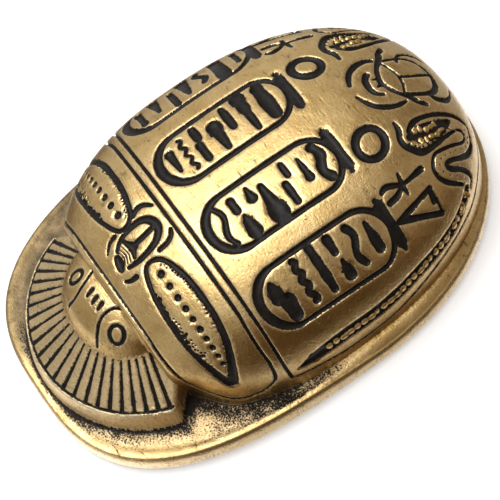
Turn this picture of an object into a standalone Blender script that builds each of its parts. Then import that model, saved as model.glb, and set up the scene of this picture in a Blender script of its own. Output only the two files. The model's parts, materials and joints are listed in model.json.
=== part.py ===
"""Scarab figurine, one casting: an oval plinth, a ribbed fan before the head, the head with its two
eyes, the thorax shield and the wing cases, with the carving sunk into them.

Metres, +Z up. The plinth's centre is at the origin, its underside at Z = 0, the head towards -Y.

The top is one skin of two sheets. One is the plan of the plinth's top, with the fan and the head.
The other is the body, with its steep flanks unrolled flat. Points are laid out and joined into
triangles on a sheet, then lifted to their places in space, and the two sheets share a border.
"""

import bpy
import numpy as np
from mathutils.geometry import delaunay_2d_cdt

# Plinth
LENGTH = 0.0760
WIDTH = 0.0532
PLINTH_HEIGHT = 0.0037
PLINTH_RIM_INSET = 0.0005
PLINTH_FOOT_INSET = 0.0003
PLINTH_RIM_BEND_AT = 0.65
PLINTH_FOOT_BEND_AT = 0.2
PLINTH_DISH = 0.0003
RIM_ROUND = 0.0019
RIM_FALL = 0.0008
RIM_BLEND = 0.009
WIDEST_AT = 0.06
FRONT_FULLNESS = 2.87
REAR_FULLNESS = 2.13

# Body: thorax shield and wing cases
SIDE_LEDGE = 0.0023
REAR_LEDGE = 0.00095
BODY_RISE = 0.0202
BODY_WIDEST_AT = 0.037
BODY_NOSE_AT = -0.353
BODY_OUTLINE_FULLNESS = 2.34
BODY_SECTION_FULLNESS = 3.11
SHIELD_FRONT_AT = -0.278
WALL_DRAFT = 0.0003
# The shield's front corners are drawn in, from a share of the body's rise down to a lower one.
CORNER_PULL = 0.0026
CORNER_LENGTH = 0.0061
CORNER_LOW = 0.05
CORNER_HIGH = 0.50

# Fan before the head
FRONT_LEDGE = 0.0016
FAN_RADIUS = 0.0192
FAN_END_ANGLE = np.radians(43.8)
FAN_END_FOCUS_AT = -0.0822
FAN_EDGE_RISE = 0.0039
FAN_SLOPE = 0.65
LIP_WIDTH = 0.0009
LIP_RISE = 0.0003
LIP_ROUND = 0.0009
LIP_ROUND_DROP = 0.0011
RIBS_EACH_SIDE = 11
RIB_STEP = np.radians(7.9)
RIB_CROWDING = np.radians(0.11)
RIB_FOCUS_AHEAD = 0.0013

# Head
HEAD_HALF_WIDTH = 0.0100
HEAD_HALF_LENGTH = 0.0088
HEAD_RISE = 0.0047
HEAD_FULLNESS = 2.2
HEAD_CROWN = 0.75
HEAD_AHEAD = 0.0022
EYE_RADIUS = 0.0011

# Grooves. A taper is the width at a stroke's thin end, and a swell what it gains where it is
# widest, as shares of its width.
GROOVE_DEPTH = 0.0005
LINE_WIDTH = 0.0005
DASH_WIDTH = 0.0008
FRAME_WIDTH = 0.00105
FRAME_SWELL = 0.55
RIB_WIDTH = 0.00082
RIB_TAPER = 0.62
RIB_DEPTH = 0.0004
LIP_GROOVE_WIDTH = 0.0006
SIGN_WIDTH = 0.0008
TIE_WIDTH = 0.0017
TIE_TAPER = 0.4
RING_RADIUS = 0.0022
RING_WIDTH = 0.0013
TAIL_WIDTH = 0.0029
TAIL_TAPER = 0.3
HOOD_WIDTH = 0.0022

# Dots along each leaf. The places across are shares of the body's half width.
DOTS = 10
DOT_WIDTH = 0.00095
FIRST_DOT_AT = 0.241
DOT_STEP = 0.092
DOT_CROWDING = 0.0034
DOTS_ALONG_AT = -0.185

# Fineness of the skin
SHEET_SPREAD = 1.5
POINT_SPACING = 0.0021
POINT_CLEARANCE = 0.45 * POINT_SPACING
STROKE_SPACING = 0.0021
CURVE_PIECES = 2
OUTLINE_POINTS = 96
FAN_POINTS = 27
FAN_END_POINTS = 4
LIP_LINE_AT = 0.25
RIM_LINE_AT = 0.33
HEAD_POINTS = 40
SHIELD_FRONT_POINTS = 23
RING_POINTS = 14
EYE_POINTS = 10
DOT_SIDES = 6
MERGE_DISTANCE = 0.00002

# Finish
BRASS_COLOUR = (0.55, 0.40, 0.17, 1)
BRASS_ROUGHNESS = 0.35
SHARP_ANGLE = np.radians(25.0)

BODY_HALF_WIDTH = WIDTH / 2 - SIDE_LEDGE
BODY_MIDDLE_Y = BODY_WIDEST_AT * LENGTH
BODY_REAR = LENGTH / 2 - REAR_LEDGE - BODY_MIDDLE_Y
BODY_FRONT = BODY_MIDDLE_Y - BODY_NOSE_AT * LENGTH
SHIELD_FRONT_Y = SHIELD_FRONT_AT * LENGTH
FAN_END_FOCUS_Y = FAN_END_FOCUS_AT * LENGTH
FAN_CENTRE_Y = -LENGTH / 2 + FRONT_LEDGE + FAN_RADIUS
HEAD_CENTRE_Y = FAN_CENTRE_Y - HEAD_AHEAD
RIB_FOCUS_Y = FAN_CENTRE_Y - RIB_FOCUS_AHEAD
SIDES = (1, -1)
FULL_TURN = np.linspace(0, 2 * np.pi, OUTLINE_POINTS, endpoint=False)
REAR_TURN = np.linspace(0, np.pi, OUTLINE_POINTS // 2)


# The plain form


def smooth_step(value, start, end):
    share = np.clip((value - start) / (end - start), 0, 1)
    return share * share * (3 - 2 * share)


def signed_power(value, power):
    return np.sign(value) * np.abs(value) ** power


def plinth_outline(turn, inset):
    """Points of the plinth's outline, drawn in by the inset."""
    across, along = np.cos(turn), np.sin(turn)
    fullness = np.where(along < 0, FRONT_FULLNESS, REAR_FULLNESS)
    widest = WIDEST_AT * LENGTH
    reach = np.where(along < 0, LENGTH / 2 + widest, LENGTH / 2 - widest) - inset
    x = (WIDTH / 2 - inset) * signed_power(across, 2 / fullness)
    y = widest + reach * signed_power(along, 2 / fullness)
    return np.column_stack([x, y])


def rim_share(plan):
    """0 at the plinth's middle, 1 on the rim of its top."""
    along = plan[:, 1] - WIDEST_AT * LENGTH
    reach = LENGTH / 2 - PLINTH_RIM_INSET + np.where(along < 0, 1, -1) * WIDEST_AT * LENGTH
    fullness = np.where(along < 0, FRONT_FULLNESS, REAR_FULLNESS)
    across = np.abs(plan[:, 0] / (WIDTH / 2 - PLINTH_RIM_INSET)) ** fullness
    return (across + np.abs(along / reach) ** fullness) ** (1 / fullness)


def foot_share(across, along):
    """0 under the crown of the body, 1 on the line where the body meets the plinth."""
    reach = np.where(along < 0, BODY_FRONT, BODY_REAR)
    power = BODY_OUTLINE_FULLNESS
    return (np.abs(across / BODY_HALF_WIDTH) ** power + np.abs(along / reach) ** power) ** (1 / power)


def unrolled(plan):
    """Plan coordinates on the body, as coordinates on the body's own sheet."""
    along = plan[:, 1] - BODY_MIDDLE_Y
    share = np.clip(foot_share(plan[:, 0], along), 1e-9, 1)
    section = np.arcsin(share ** (BODY_OUTLINE_FULLNESS / 2)) * 2 / np.pi
    stretch = SHEET_SPREAD * section / share
    return np.column_stack([plan[:, 0] * stretch, along * stretch])


def corner_pull(y, rise_share):
    """How far the shield's front corners are drawn in, at places along the body and heights."""
    ahead = smooth_step(SHIELD_FRONT_Y + CORNER_LENGTH - y, 0, CORNER_LENGTH)
    return CORNER_PULL * ahead * (1 - smooth_step(rise_share, CORNER_LOW, CORNER_HIGH))


def body(sheet):
    """The uncarved body: a point in space for each point of its sheet."""
    radius = np.maximum(foot_share(sheet[:, 0], sheet[:, 1]), 1e-9)
    section = np.clip(radius / SHEET_SPREAD, 0, 1) * np.pi / 2
    shrink = np.sin(section) ** (2 / BODY_OUTLINE_FULLNESS) / radius
    rise = np.cos(section) ** (2 / BODY_SECTION_FULLNESS)
    x, y = sheet[:, 0] * shrink, BODY_MIDDLE_Y + sheet[:, 1] * shrink
    x = x - np.sign(x) * np.minimum(corner_pull(y, rise), np.abs(x))
    return np.column_stack([x, y, PLINTH_HEIGHT + BODY_RISE * rise])


def fan_rise(x, y):
    """Height of the fan above the plinth, its rounded lip included."""
    radius = np.hypot(x, FAN_CENTRE_Y - y)
    past_end = np.abs(x) * np.sin(FAN_END_ANGLE) - (FAN_END_FOCUS_Y - y) * np.cos(FAN_END_ANGLE)
    outside = np.maximum(radius - FAN_RADIUS + WALL_DRAFT, past_end)
    rib_end = FAN_RADIUS - LIP_WIDTH
    rise = FAN_EDGE_RISE + FAN_SLOPE * (rib_end - np.clip(radius, HEAD_HALF_WIDTH, rib_end))
    rise = rise + LIP_RISE * np.clip((radius - rib_end) / WALL_DRAFT, 0, 1)
    over_lip = np.clip(1 + (radius - FAN_RADIUS + WALL_DRAFT) / LIP_ROUND, 0, 1)
    rise = rise - LIP_ROUND_DROP * (1 - np.sqrt(1 - over_lip**2))
    return rise * np.clip(1 - outside / WALL_DRAFT, 0, 1)


def head_rise(x, y):
    """Height of the head above the fan."""
    reach = np.abs(x / HEAD_HALF_WIDTH) ** HEAD_FULLNESS
    reach = reach + np.abs((y - HEAD_CENTRE_Y) / HEAD_HALF_LENGTH) ** HEAD_FULLNESS
    return HEAD_RISE * np.clip(1 - reach, 0, None) ** HEAD_CROWN


def plinth_rise(plan):
    """Height of the plinth's top over its own rim: dished ahead, rounded off behind."""
    inside = (1 - rim_share(plan)) * WIDTH / 2
    rear = smooth_step(plan[:, 1], BODY_MIDDLE_Y - RIM_BLEND, BODY_MIDDLE_Y + RIM_BLEND)
    dish = PLINTH_DISH * (1 - rear) * np.clip(2 * inside / SIDE_LEDGE, 0, 1)
    return -dish - RIM_FALL * rear * (1 - np.clip(inside / RIM_ROUND, 0, 1)) ** 2


def front(plan):
    """The plinth's top, the fan and the head, uncarved, for points of the plan."""
    x, y = plan[:, 0], plan[:, 1]
    fan = fan_rise(x, y)
    rise = np.where(fan > 0, fan + head_rise(x, y), plinth_rise(plan))
    return np.column_stack([x, y, PLINTH_HEIGHT + rise])


def tangents(surface, sheet):
    """How the surface moves in space along its sheet's two directions."""
    step = MERGE_DISTANCE
    along_a = surface(sheet + [step, 0]) - surface(sheet - [step, 0])
    along_b = surface(sheet + [0, step]) - surface(sheet - [0, step])
    return along_a / (2 * step), along_b / (2 * step)


def normals(surface, sheet):
    normal = np.cross(*tangents(surface, sheet))
    return normal / np.maximum(np.linalg.norm(normal, axis=1, keepdims=True), 1e-12)


# Places on the form


def spots(places):
    """Places on the body, from shares of its half width and of the whole length."""
    return unrolled(np.array(places, float) * [BODY_HALF_WIDTH, LENGTH])


def flank(places):
    """Places on the right flank, from shares of the length and of the body's rise."""
    places = np.array(places, float)
    along = places[:, 0] * LENGTH - BODY_MIDDLE_Y
    section = np.arccos(places[:, 1] ** (BODY_SECTION_FULLNESS / 2)) * 2 / np.pi
    power = BODY_OUTLINE_FULLNESS
    share = np.sin(section * np.pi / 2) ** (2 / power)
    reach = np.where(along < 0, BODY_FRONT, BODY_REAR)
    across = np.clip(share**power - np.abs(along / reach) ** power, 0, None) ** (1 / power)
    stretch = SHEET_SPREAD * section / share
    return np.column_stack([across * BODY_HALF_WIDTH * stretch, along * stretch])


def head_spots(places):
    """Places on the head, from shares of its half width and its half length."""
    return np.array(places, float) * [HEAD_HALF_WIDTH, -HEAD_HALF_LENGTH] + [0, HEAD_CENTRE_Y]


def curve(points, closed=False):
    """A smooth curve through the points, with each step between them in a few pieces."""
    points = np.array(points, float)
    count = len(points)
    out = []
    for i in range(count if closed else count - 1):
        four = [i - 1, i, i + 1, i + 2]
        four = [k % count if closed else min(max(k, 0), count - 1) for k in four]
        before, start, end, after = points[four]
        for t in np.arange(CURVE_PIECES) / CURVE_PIECES:
            pull = (end - before) * t + (2 * before - 5 * start + 4 * end - after) * t**2
            pull = pull + (3 * start - before - 3 * end + after) * t**3
            out.append(start + pull / 2)
    return np.array(out if closed else [*out, points[-1]])


def ring(middle, radius, points):
    turn = np.arange(points) * 2 * np.pi / points
    return middle + radius * np.column_stack([np.cos(turn), np.sin(turn)])


class Stroke:
    """A groove along a line on a sheet, with a width, or one at each point, and a depth."""

    def __init__(self, surface, line, width, depth=GROOVE_DEPTH, closed=False):
        self.surface = surface
        self.depth = depth
        self.closed = closed
        self.line, self.half = self.split_line(np.array(line, float), width)
        self.space = surface(self.line)

    def split_line(self, line, width):
        """The line with its long steps split, and the half width at each of its points."""
        half = np.broadcast_to(np.array(width, float), len(line)) / 2
        if self.closed:
            line, half = np.vstack([line, line[:1]]), np.append(half, half[0])
        steps = np.linalg.norm(np.diff(self.surface(line), axis=0), axis=1)
        parts = np.maximum(np.ceil(steps / STROKE_SPACING), 1).astype(int)
        at = np.concatenate([i + np.arange(n) / n for i, n in enumerate(parts)] + [[len(parts)]])
        at = at[: -1 if self.closed else None]
        corners = np.arange(len(line))
        line = np.column_stack([np.interp(at, corners, line[:, k]) for k in (0, 1)])
        return line, np.interp(at, corners, half)

    def moved(self, index, way):
        """Points of the sheet that lie a given way in space from points of the line."""
        frame = np.stack(tangents(self.surface, self.line[index]), axis=2)
        return self.line[index] + (np.linalg.pinv(frame) @ way[:, :, None])[:, :, 0]

    def mirrored(self, side):
        """The same stroke on the given side, 1 for this one."""
        return Stroke(self.surface, self.line * [side, 1], self.half * 2, self.depth, self.closed)

    def outlines(self):
        """The groove's edges and its bottom, as lines on the sheet, and whether each is closed."""
        if len(self.line) == 1:
            first = tangents(self.surface, self.line)[0]
            first = first / np.linalg.norm(first)
            second = np.cross(normals(self.surface, self.line), first)
            around = ring(np.zeros(2), self.half[0], DOT_SIDES) @ np.vstack([first, second])
            return [(self.moved(np.zeros(DOT_SIDES, int), around), True), (self.line, False)]
        along = np.gradient(self.space, axis=0)
        if self.closed:
            along = np.roll(self.space, -1, 0) - np.roll(self.space, 1, 0)
        along = along / np.linalg.norm(along, axis=1, keepdims=True)
        across = np.cross(normals(self.surface, self.line), along)
        every = np.arange(len(self.line))
        left = self.moved(every, across * self.half[:, None])
        right = self.moved(every, -across * self.half[:, None])
        if self.closed:
            return [(left, True), (right, True), (self.line, True)]
        tip = self.moved(every[-1:], along[-1:] * self.half[-1])
        tail = self.moved(every[:1], -along[:1] * self.half[0])
        return [(np.vstack([left, tip, right[::-1], tail]), True), (self.line, False)]

    def cut_at(self, points):
        """Depth of this groove at points in space."""
        cut = np.zeros(len(points))
        margin = self.half.max()
        near = np.all(points > self.space.min(0) - margin, axis=1)
        near &= np.all(points < self.space.max(0) + margin, axis=1)
        index = np.flatnonzero(near)
        count = len(self.line)
        last = count if self.closed or count == 1 else count - 1
        for i in range(last):
            j = (i + 1) % count
            way = self.space[j] - self.space[i]
            offset = points[index] - self.space[i]
            place = np.clip(offset @ way / max(way @ way, 1e-12), 0, 1)
            distance = np.linalg.norm(offset - place[:, None] * way, axis=1)
            half = self.half[i] + (self.half[j] - self.half[i]) * place
            depth = self.depth * np.clip(1 - distance / half, 0, 1)
            cut[index] = np.maximum(cut[index], depth)
        return cut


def on_both_sides(strokes):
    return [stroke.mirrored(side) for stroke in strokes for side in SIDES]


# The carving on the body


def shield_edge():
    """The line round the thorax shield, along its rear and front and low on both flanks."""
    low = [(-0.115, 0.45), (-0.117, 0.28), (-0.126, 0.19), (-0.153, 0.115), (-0.19, 0.09)]
    low += [(-0.226, 0.16), (-0.248, 0.26), (-0.263, 0.40)]
    right = curve(flank(low))
    rear = spots([(u, -0.114) for u in np.linspace(-0.7, 0.7, 9)])
    front_line = [(u, SHIELD_FRONT_AT + 0.008) for u in np.linspace(0.45, -0.45, 7)]
    loop = np.vstack([rear, right, spots(front_line), right[::-1] * [-1, 1]])
    return [Stroke(body, loop, LINE_WIDTH, closed=True)]


def wing_edge():
    """The line round the wing cases: straight behind the shield, low on the flanks and the tail."""
    low = [(-0.092, 0.14), (-0.04, 0.115), (0.02, 0.09), (0.095, 0.08), (0.145, 0.09)]
    low += [(0.20, 0.13), (0.245, 0.16), (0.335, 0.18), (0.39, 0.18), (0.47, 0.18)]
    right = curve(flank(low))
    front_line = spots([(u, -0.095) for u in np.linspace(-0.93, 0.93, 13)])
    loop = np.vstack([front_line, right, right[::-1] * [-1, 1]])
    return [Stroke(body, loop, LINE_WIDTH, closed=True)]


# Inner and outer edges of the two frames on each wing case, and where they start and end.
FRAMES = ((0.088, 0.447), (0.604, 0.900))
FRAME_FRONT = -0.0735
FRAME_REAR = 0.205
FRAME_ROUND = 0.055
TIE_AT = 0.209

# Rows of plain strokes in the frames of the right and the left side, inner frame first: place
# along, start and end across, and width. The places are shares of the frame, the widths shares of
# a sign's.
RIGHT_ROWS = (
    (
        (0.12, 0.15, 0.85, 1.1),
        (0.24, 0.20, 0.40, 1.7),
        (0.26, 0.54, 0.84, 1.9),
        (0.37, 0.16, 0.36, 1.4),
        (0.46, 0.28, 0.84, 2.2),
        (0.60, 0.50, 0.84, 1.4),
        (0.65, 0.16, 0.38, 1.2),
        (0.76, 0.24, 0.62, 1.3),
        (0.88, 0.20, 0.80, 2.0),
    ),
    (
        (0.13, 0.24, 0.50, 2.0),
        (0.17, 0.62, 0.86, 2.4),
        (0.33, 0.14, 0.86, 1.4),
        (0.47, 0.12, 0.88, 1.8),
        (0.60, 0.16, 0.42, 1.6),
        (0.61, 0.60, 0.84, 1.6),
        (0.74, 0.18, 0.82, 1.4),
        (0.87, 0.28, 0.74, 1.7),
    ),
)
LEFT_ROWS = (
    (
        (0.11, 0.30, 0.70, 1.4),
        (0.21, 0.16, 0.84, 0.9),
        (0.31, 0.20, 0.50, 1.4),
        (0.33, 0.64, 0.86, 1.7),
        (0.46, 0.16, 0.64, 2.1),
        (0.57, 0.44, 0.86, 1.5),
        (0.70, 0.14, 0.86, 1.9),
        (0.85, 0.20, 0.82, 2.5),
    ),
    (
        (0.12, 0.25, 0.75, 1.4),
        (0.25, 0.30, 0.84, 1.8),
        (0.38, 0.14, 0.68, 1.4),
        (0.49, 0.22, 0.86, 1.9),
        (0.62, 0.28, 0.80, 1.3),
        (0.76, 0.14, 0.86, 2.6),
        (0.90, 0.26, 0.74, 1.2),
    ),
)


def frame_loop(inner, outer):
    """A frame along the body with round ends: its line, and the groove's width at each point."""
    turn = np.radians([90, 55, 20, -20, -55, -90])
    middle, half = (inner + outer) / 2, (outer - inner) / 2
    rear = [(middle + half * np.sin(t), FRAME_REAR - FRAME_ROUND * (1 - np.cos(t))) for t in turn]
    ahead = [(middle - half * np.sin(t), FRAME_FRONT + FRAME_ROUND * (1 - np.cos(t))) for t in turn]
    widths = FRAME_WIDTH * np.append(np.ones(len(turn)), 1 + FRAME_SWELL * np.cos(turn))
    return spots(rear + ahead), widths


def frames():
    """The two frames on each wing case, each with a bar behind it."""
    out = []
    for inner, outer in FRAMES:
        out.append(Stroke(body, *frame_loop(inner, outer), closed=True))
        bar = [(inner + t * (outer - inner), TIE_AT) for t in (0.0, 0.2, 0.5, 0.75, 0.93)]
        out.append(Stroke(body, spots(bar), TIE_WIDTH * np.array([TIE_TAPER, 1, 1, 1, TIE_TAPER])))
    return on_both_sides(out)


def sign_rows():
    out = []
    for side, both in zip(SIDES, (RIGHT_ROWS, LEFT_ROWS)):
        for (inner, outer), rows in zip(FRAMES, both):
            for along, start, end, width in rows:
                v = FRAME_FRONT + along * (FRAME_REAR - FRAME_FRONT)
                ends = [(side * (inner + t * (outer - inner)), v) for t in (start, end)]
                out.append(Stroke(body, spots(ends), SIGN_WIDTH * width))
    return out


def sun_rings():
    around = ring(np.zeros(2), RING_RADIUS, RING_POINTS) / [BODY_HALF_WIDTH, LENGTH]
    return on_both_sides([Stroke(body, spots(around + [0.328, 0.264]), RING_WIDTH, closed=True)])


def cross_signs():
    """A looped cross and a long triangle behind each outer frame."""
    lines = [[(0.60, 0.318), (0.61, 0.268)], [(0.61, 0.264), (0.58, 0.226)]]
    lines += [[(0.61, 0.264), (0.67, 0.228)], [(0.55, 0.272), (0.67, 0.267)]]
    triangle = [(0.78, 0.224), (0.68, 0.306), (0.80, 0.304)]
    out = [Stroke(body, spots(line), SIGN_WIDTH) for line in lines]
    out.append(Stroke(body, spots(triangle), SIGN_WIDTH, closed=True))
    return on_both_sides(out)


def leaves():
    """The long leaf on each half of the shield, and the dots along its middle."""
    edge = [(0.15, -0.200), (0.30, -0.218), (0.47, -0.224), (0.64, -0.222), (0.77, -0.209)]
    edge += [(0.85, -0.190), (0.79, -0.166), (0.66, -0.152), (0.50, -0.149), (0.32, -0.153)]
    loop = curve(spots([*edge, (0.17, -0.170)]), closed=True)
    out = [Stroke(body, loop, FRAME_WIDTH, closed=True)]
    number = np.arange(DOTS)
    across = FIRST_DOT_AT + DOT_STEP * number - DOT_CROWDING * number**2
    dots = spots([(u, DOTS_ALONG_AT) for u in across])
    out += [Stroke(body, [dot], DOT_WIDTH) for dot in dots]
    return on_both_sides(out)


def small_beetle():
    """The small beetle between the leaves."""
    half = [(0.07, -0.226), (0.10, -0.205), (0.11, -0.185), (0.10, -0.163), (0.06, -0.146)]
    back = [*half, (0.0, -0.140)] + [(-u, v) for u, v in reversed(half)]
    out = [Stroke(body, curve(spots(back)), SIGN_WIDTH)]
    out.append(Stroke(body, spots([(0, -0.152), (0, -0.197)]), LINE_WIDTH))
    out.append(Stroke(body, spots([(-0.02, -0.235), (0.02, -0.235)]), SIGN_WIDTH * 1.3))
    fore = [(0.10, -0.246), (0.135, -0.235), (0.15, -0.219)]
    hind = [(0.14, -0.162), (0.165, -0.146), (0.12, -0.128)]
    legs = [Stroke(body, curve(spots(leg)), SIGN_WIDTH) for leg in (fore, hind)]
    arm = Stroke(body, spots([(0, -0.197), (0.045, -0.208)]), LINE_WIDTH)
    return out + on_both_sides([*legs, arm])


def tail_beetle():
    """The larger beetle over the tail."""
    thorax = ring(np.zeros(2), 1, RING_POINTS) * [0.13, 0.018] + [0, 0.379]
    half = [(0.155, 0.392), (0.165, 0.415), (0.12, 0.443)]
    back = [*half, (0.0, 0.455)] + [(-u, v) for u, v in reversed(half)]
    brow = [(-0.095, 0.348), (-0.07, 0.334), (0.0, 0.329), (0.07, 0.334), (0.095, 0.348)]
    out = [Stroke(body, spots(thorax), SIGN_WIDTH, closed=True)]
    out += [Stroke(body, curve(spots(line)), SIGN_WIDTH) for line in (back, brow)]
    out.append(Stroke(body, spots([(0, 0.398), (0, 0.450)]), SIGN_WIDTH))
    fore = [(0.05, 0.303), (0.12, 0.325), (0.17, 0.345), (0.19, 0.372)]
    hind = [(0.18, 0.426), (0.225, 0.440), (0.15, 0.472)]
    legs = (fore, [(0.18, 0.388), (0.22, 0.408)], hind)
    return out + on_both_sides([Stroke(body, curve(spots(leg)), SIGN_WIDTH) for leg in legs])


def snakes():
    """The reared snake on each side of the tail beetle, and its long tail down the flank."""
    chest = [(0.28, 0.327), (0.385, 0.317), (0.465, 0.324), (0.50, 0.34), (0.467, 0.387), (0.43, 0.421)]
    back = [(0.364, 0.340), (0.313, 0.375), (0.322, 0.417), (0.363, 0.448), (0.435, 0.447), (0.523, 0.429)]
    back += [(0.576, 0.397), (0.600, 0.367), (0.628, 0.387), (0.682, 0.390)]
    belly = [(0.432, 0.434), (0.495, 0.421), (0.524, 0.372), (0.568, 0.345), (0.666, 0.340), (0.684, 0.373)]
    hood = [(0.400, 0.342), (0.405, 0.370), (0.385, 0.410)]
    out = [Stroke(body, curve(spots(line)), SIGN_WIDTH) for line in (chest, back, belly)]
    out.append(Stroke(body, spots(hood), HOOD_WIDTH * np.array([0.6, 1, 0.5])))
    tail = [(-0.075, 0.225), (-0.04, 0.26), (0.03, 0.29), (0.10, 0.285), (0.16, 0.295), (0.21, 0.31)]
    tail += [(0.265, 0.305), (0.315, 0.30), (0.378, 0.36)]
    widths = TAIL_WIDTH * np.array([TAIL_TAPER, 0.7, 1, 1, 1, 0.95, 0.9, 0.8, 0.5])
    out.append(Stroke(body, flank(tail), widths))
    return on_both_sides(out)


def body_strokes():
    out = shield_edge() + wing_edge() + frames() + sign_rows() + sun_rings() + cross_signs()
    return out + leaves() + small_beetle() + tail_beetle() + snakes()


# The carving on the fan and the head


def head_reach(angle):
    """Distance from the ribs' focus to the head's outline, at an angle from straight ahead."""
    steps = np.arange(0, FAN_RADIUS, MERGE_DISTANCE)
    over_head = head_rise(steps * np.sin(angle), RIB_FOCUS_Y - steps * np.cos(angle)) > 0
    return steps[over_head].max(initial=0)


def fan_ribs():
    """The grooves between the ribs, which crowd a little towards the fan's ends."""
    out = []
    for number in range(-RIBS_EACH_SIDE, RIBS_EACH_SIDE + 1):
        angle = number * RIB_STEP - np.sign(number) * number**2 * RIB_CROWDING
        inner = head_reach(angle) + RIB_WIDTH / 2
        outer = FAN_RADIUS - LIP_WIDTH - RIB_WIDTH / 2 - RIB_FOCUS_AHEAD * np.cos(angle)
        line = [(reach * np.sin(angle), RIB_FOCUS_Y - reach * np.cos(angle)) for reach in (inner, outer)]
        out.append(Stroke(front, line, [RIB_WIDTH * RIB_TAPER, RIB_WIDTH], RIB_DEPTH))
    return out


def fan_arc(radius, end_margin=0):
    """Points round the fan at a radius, as far as a margin from the line of each end."""
    ahead = (FAN_END_FOCUS_Y - FAN_CENTRE_Y) * np.cos(FAN_END_ANGLE)
    end = np.arccos((end_margin - ahead) / radius) - FAN_END_ANGLE
    turn = np.linspace(-end, end, FAN_POINTS)
    return np.column_stack([radius * np.sin(turn), FAN_CENTRE_Y - radius * np.cos(turn)])


def lip_groove():
    """The groove that parts the ribs from the lip."""
    line = fan_arc(FAN_RADIUS - LIP_WIDTH - LIP_GROOVE_WIDTH / 4, end_margin=LIP_GROOVE_WIDTH)
    return [Stroke(front, line, LIP_GROOVE_WIDTH, RIB_DEPTH)]


def face():
    """The eye rings, the curved lines that bound their panels, and three dashes between."""
    panel = [(0.40, 0.20), (0.318, 0.40), (0.30, 0.53), (0.34, 0.68), (0.38, 0.77), (0.42, 0.86)]
    eye = ring(head_spots([(0.58, 0.50)]), EYE_RADIUS, EYE_POINTS)
    out = [Stroke(front, eye, LINE_WIDTH, closed=True), Stroke(front, head_spots(panel), LINE_WIDTH)]
    dashes = [Stroke(front, head_spots([(u, 0.41), (u, 0.52)]), DASH_WIDTH) for u in (-0.1, 0.04, 0.18)]
    return on_both_sides(out) + dashes


def front_strokes():
    return fan_ribs() + lip_groove() + face()


# The skin


def front_form_lines():
    """Lines that the fan, the head and the rounded rim follow, and whether each is closed."""
    lines = []
    rib_end = FAN_RADIUS - LIP_WIDTH
    edge = FAN_RADIUS - WALL_DRAFT
    for radius in (FAN_RADIUS, edge, edge - LIP_ROUND * LIP_LINE_AT, rib_end + WALL_DRAFT):
        lines.append((fan_arc(radius), False))
    end_x = fan_arc(FAN_RADIUS)[-1, 0]
    for past in (0, WALL_DRAFT):
        x = np.linspace(HEAD_HALF_WIDTH, end_x, FAN_END_POINTS)
        y = FAN_END_FOCUS_Y - x * np.tan(FAN_END_ANGLE) + past * np.cos(FAN_END_ANGLE)
        x = x + past * np.sin(FAN_END_ANGLE)
        lines += [(np.column_stack([side * x, y]), False) for side in SIDES]
    lines.append((plinth_outline(REAR_TURN, PLINTH_RIM_INSET + RIM_ROUND * RIM_LINE_AT), False))
    turn = np.linspace(0, 2 * np.pi, HEAD_POINTS, endpoint=False)
    x = HEAD_HALF_WIDTH * signed_power(np.cos(turn), 2 / HEAD_FULLNESS)
    y = HEAD_CENTRE_Y + HEAD_HALF_LENGTH * signed_power(np.sin(turn), 2 / HEAD_FULLNESS)
    return [*lines, (np.column_stack([x, y]), True)]


def shield_corner_x():
    """Half the width of the shield's front edge at its foot."""
    power = BODY_OUTLINE_FULLNESS
    share = abs((SHIELD_FRONT_Y - BODY_MIDDLE_Y) / BODY_FRONT) ** power
    return BODY_HALF_WIDTH * (1 - share) ** (1 / power)


def foot_loop():
    """The body's foot in plan: round the rear, and straight along the front of the shield.

    The straight part lies ahead of the shield's front edge by the draft of its wall.
    """
    across, along = np.cos(FULL_TURN), np.sin(FULL_TURN)
    reach = np.where(along < 0, BODY_FRONT, BODY_REAR)
    x = BODY_HALF_WIDTH * signed_power(across, 2 / BODY_OUTLINE_FULLNESS)
    y = BODY_MIDDLE_Y + reach * signed_power(along, 2 / BODY_OUTLINE_FULLNESS)
    behind = y > SHIELD_FRONT_Y + POINT_SPACING / 2
    right = np.column_stack([x, y])[behind & (x > POINT_SPACING / 4)]
    right = right[np.argsort(right[:, 1])]
    right = np.vstack([[(shield_corner_x(), SHIELD_FRONT_Y)], right])
    right[:, 0] -= corner_pull(right[:, 1], 0)
    straight_x = np.linspace(-right[0, 0], right[0, 0], SHIELD_FRONT_POINTS)[1:-1]
    straight = np.column_stack([straight_x, np.full(len(straight_x), SHIELD_FRONT_Y - WALL_DRAFT)])
    tail = [(0, BODY_MIDDLE_Y + BODY_REAR)]
    return np.vstack([right, tail, right[::-1] * [-1, 1], straight])


def lattice():
    """Evenly spaced points over a whole sheet."""
    reach_x = SHEET_SPREAD * WIDTH / 2
    reach_y = SHEET_SPREAD * LENGTH / 2 + BODY_MIDDLE_Y
    rows = []
    for k, y in enumerate(np.arange(-reach_y, reach_y, POINT_SPACING * np.sqrt(3) / 2)):
        x = np.arange(-reach_x + (k % 2) * POINT_SPACING / 2, reach_x, POINT_SPACING)
        rows.append(np.column_stack([x, np.full(len(x), y)]))
    return np.vstack(rows)


def clear_of(points, lines):
    """The points that keep well away from every line."""
    gap = POINT_CLEARANCE
    keep = np.ones(len(points), bool)
    for line, closed in lines:
        line = np.vstack([line, line[:1]])[: None if closed or len(line) == 1 else -1]
        near = np.all(points > line.min(0) - gap, axis=1) & np.all(points < line.max(0) + gap, axis=1)
        index = np.flatnonzero(near & keep)
        starts, ways = line[:-1], np.diff(line, axis=0)
        offset = points[index, None] - starts[None]
        share = np.clip((offset * ways).sum(2) / np.maximum((ways**2).sum(1), 1e-18), 0, 1)
        distance = np.linalg.norm(offset - share[..., None] * ways, axis=2).min(1)
        keep[index[distance < gap]] = False
    return points[keep]


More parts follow.
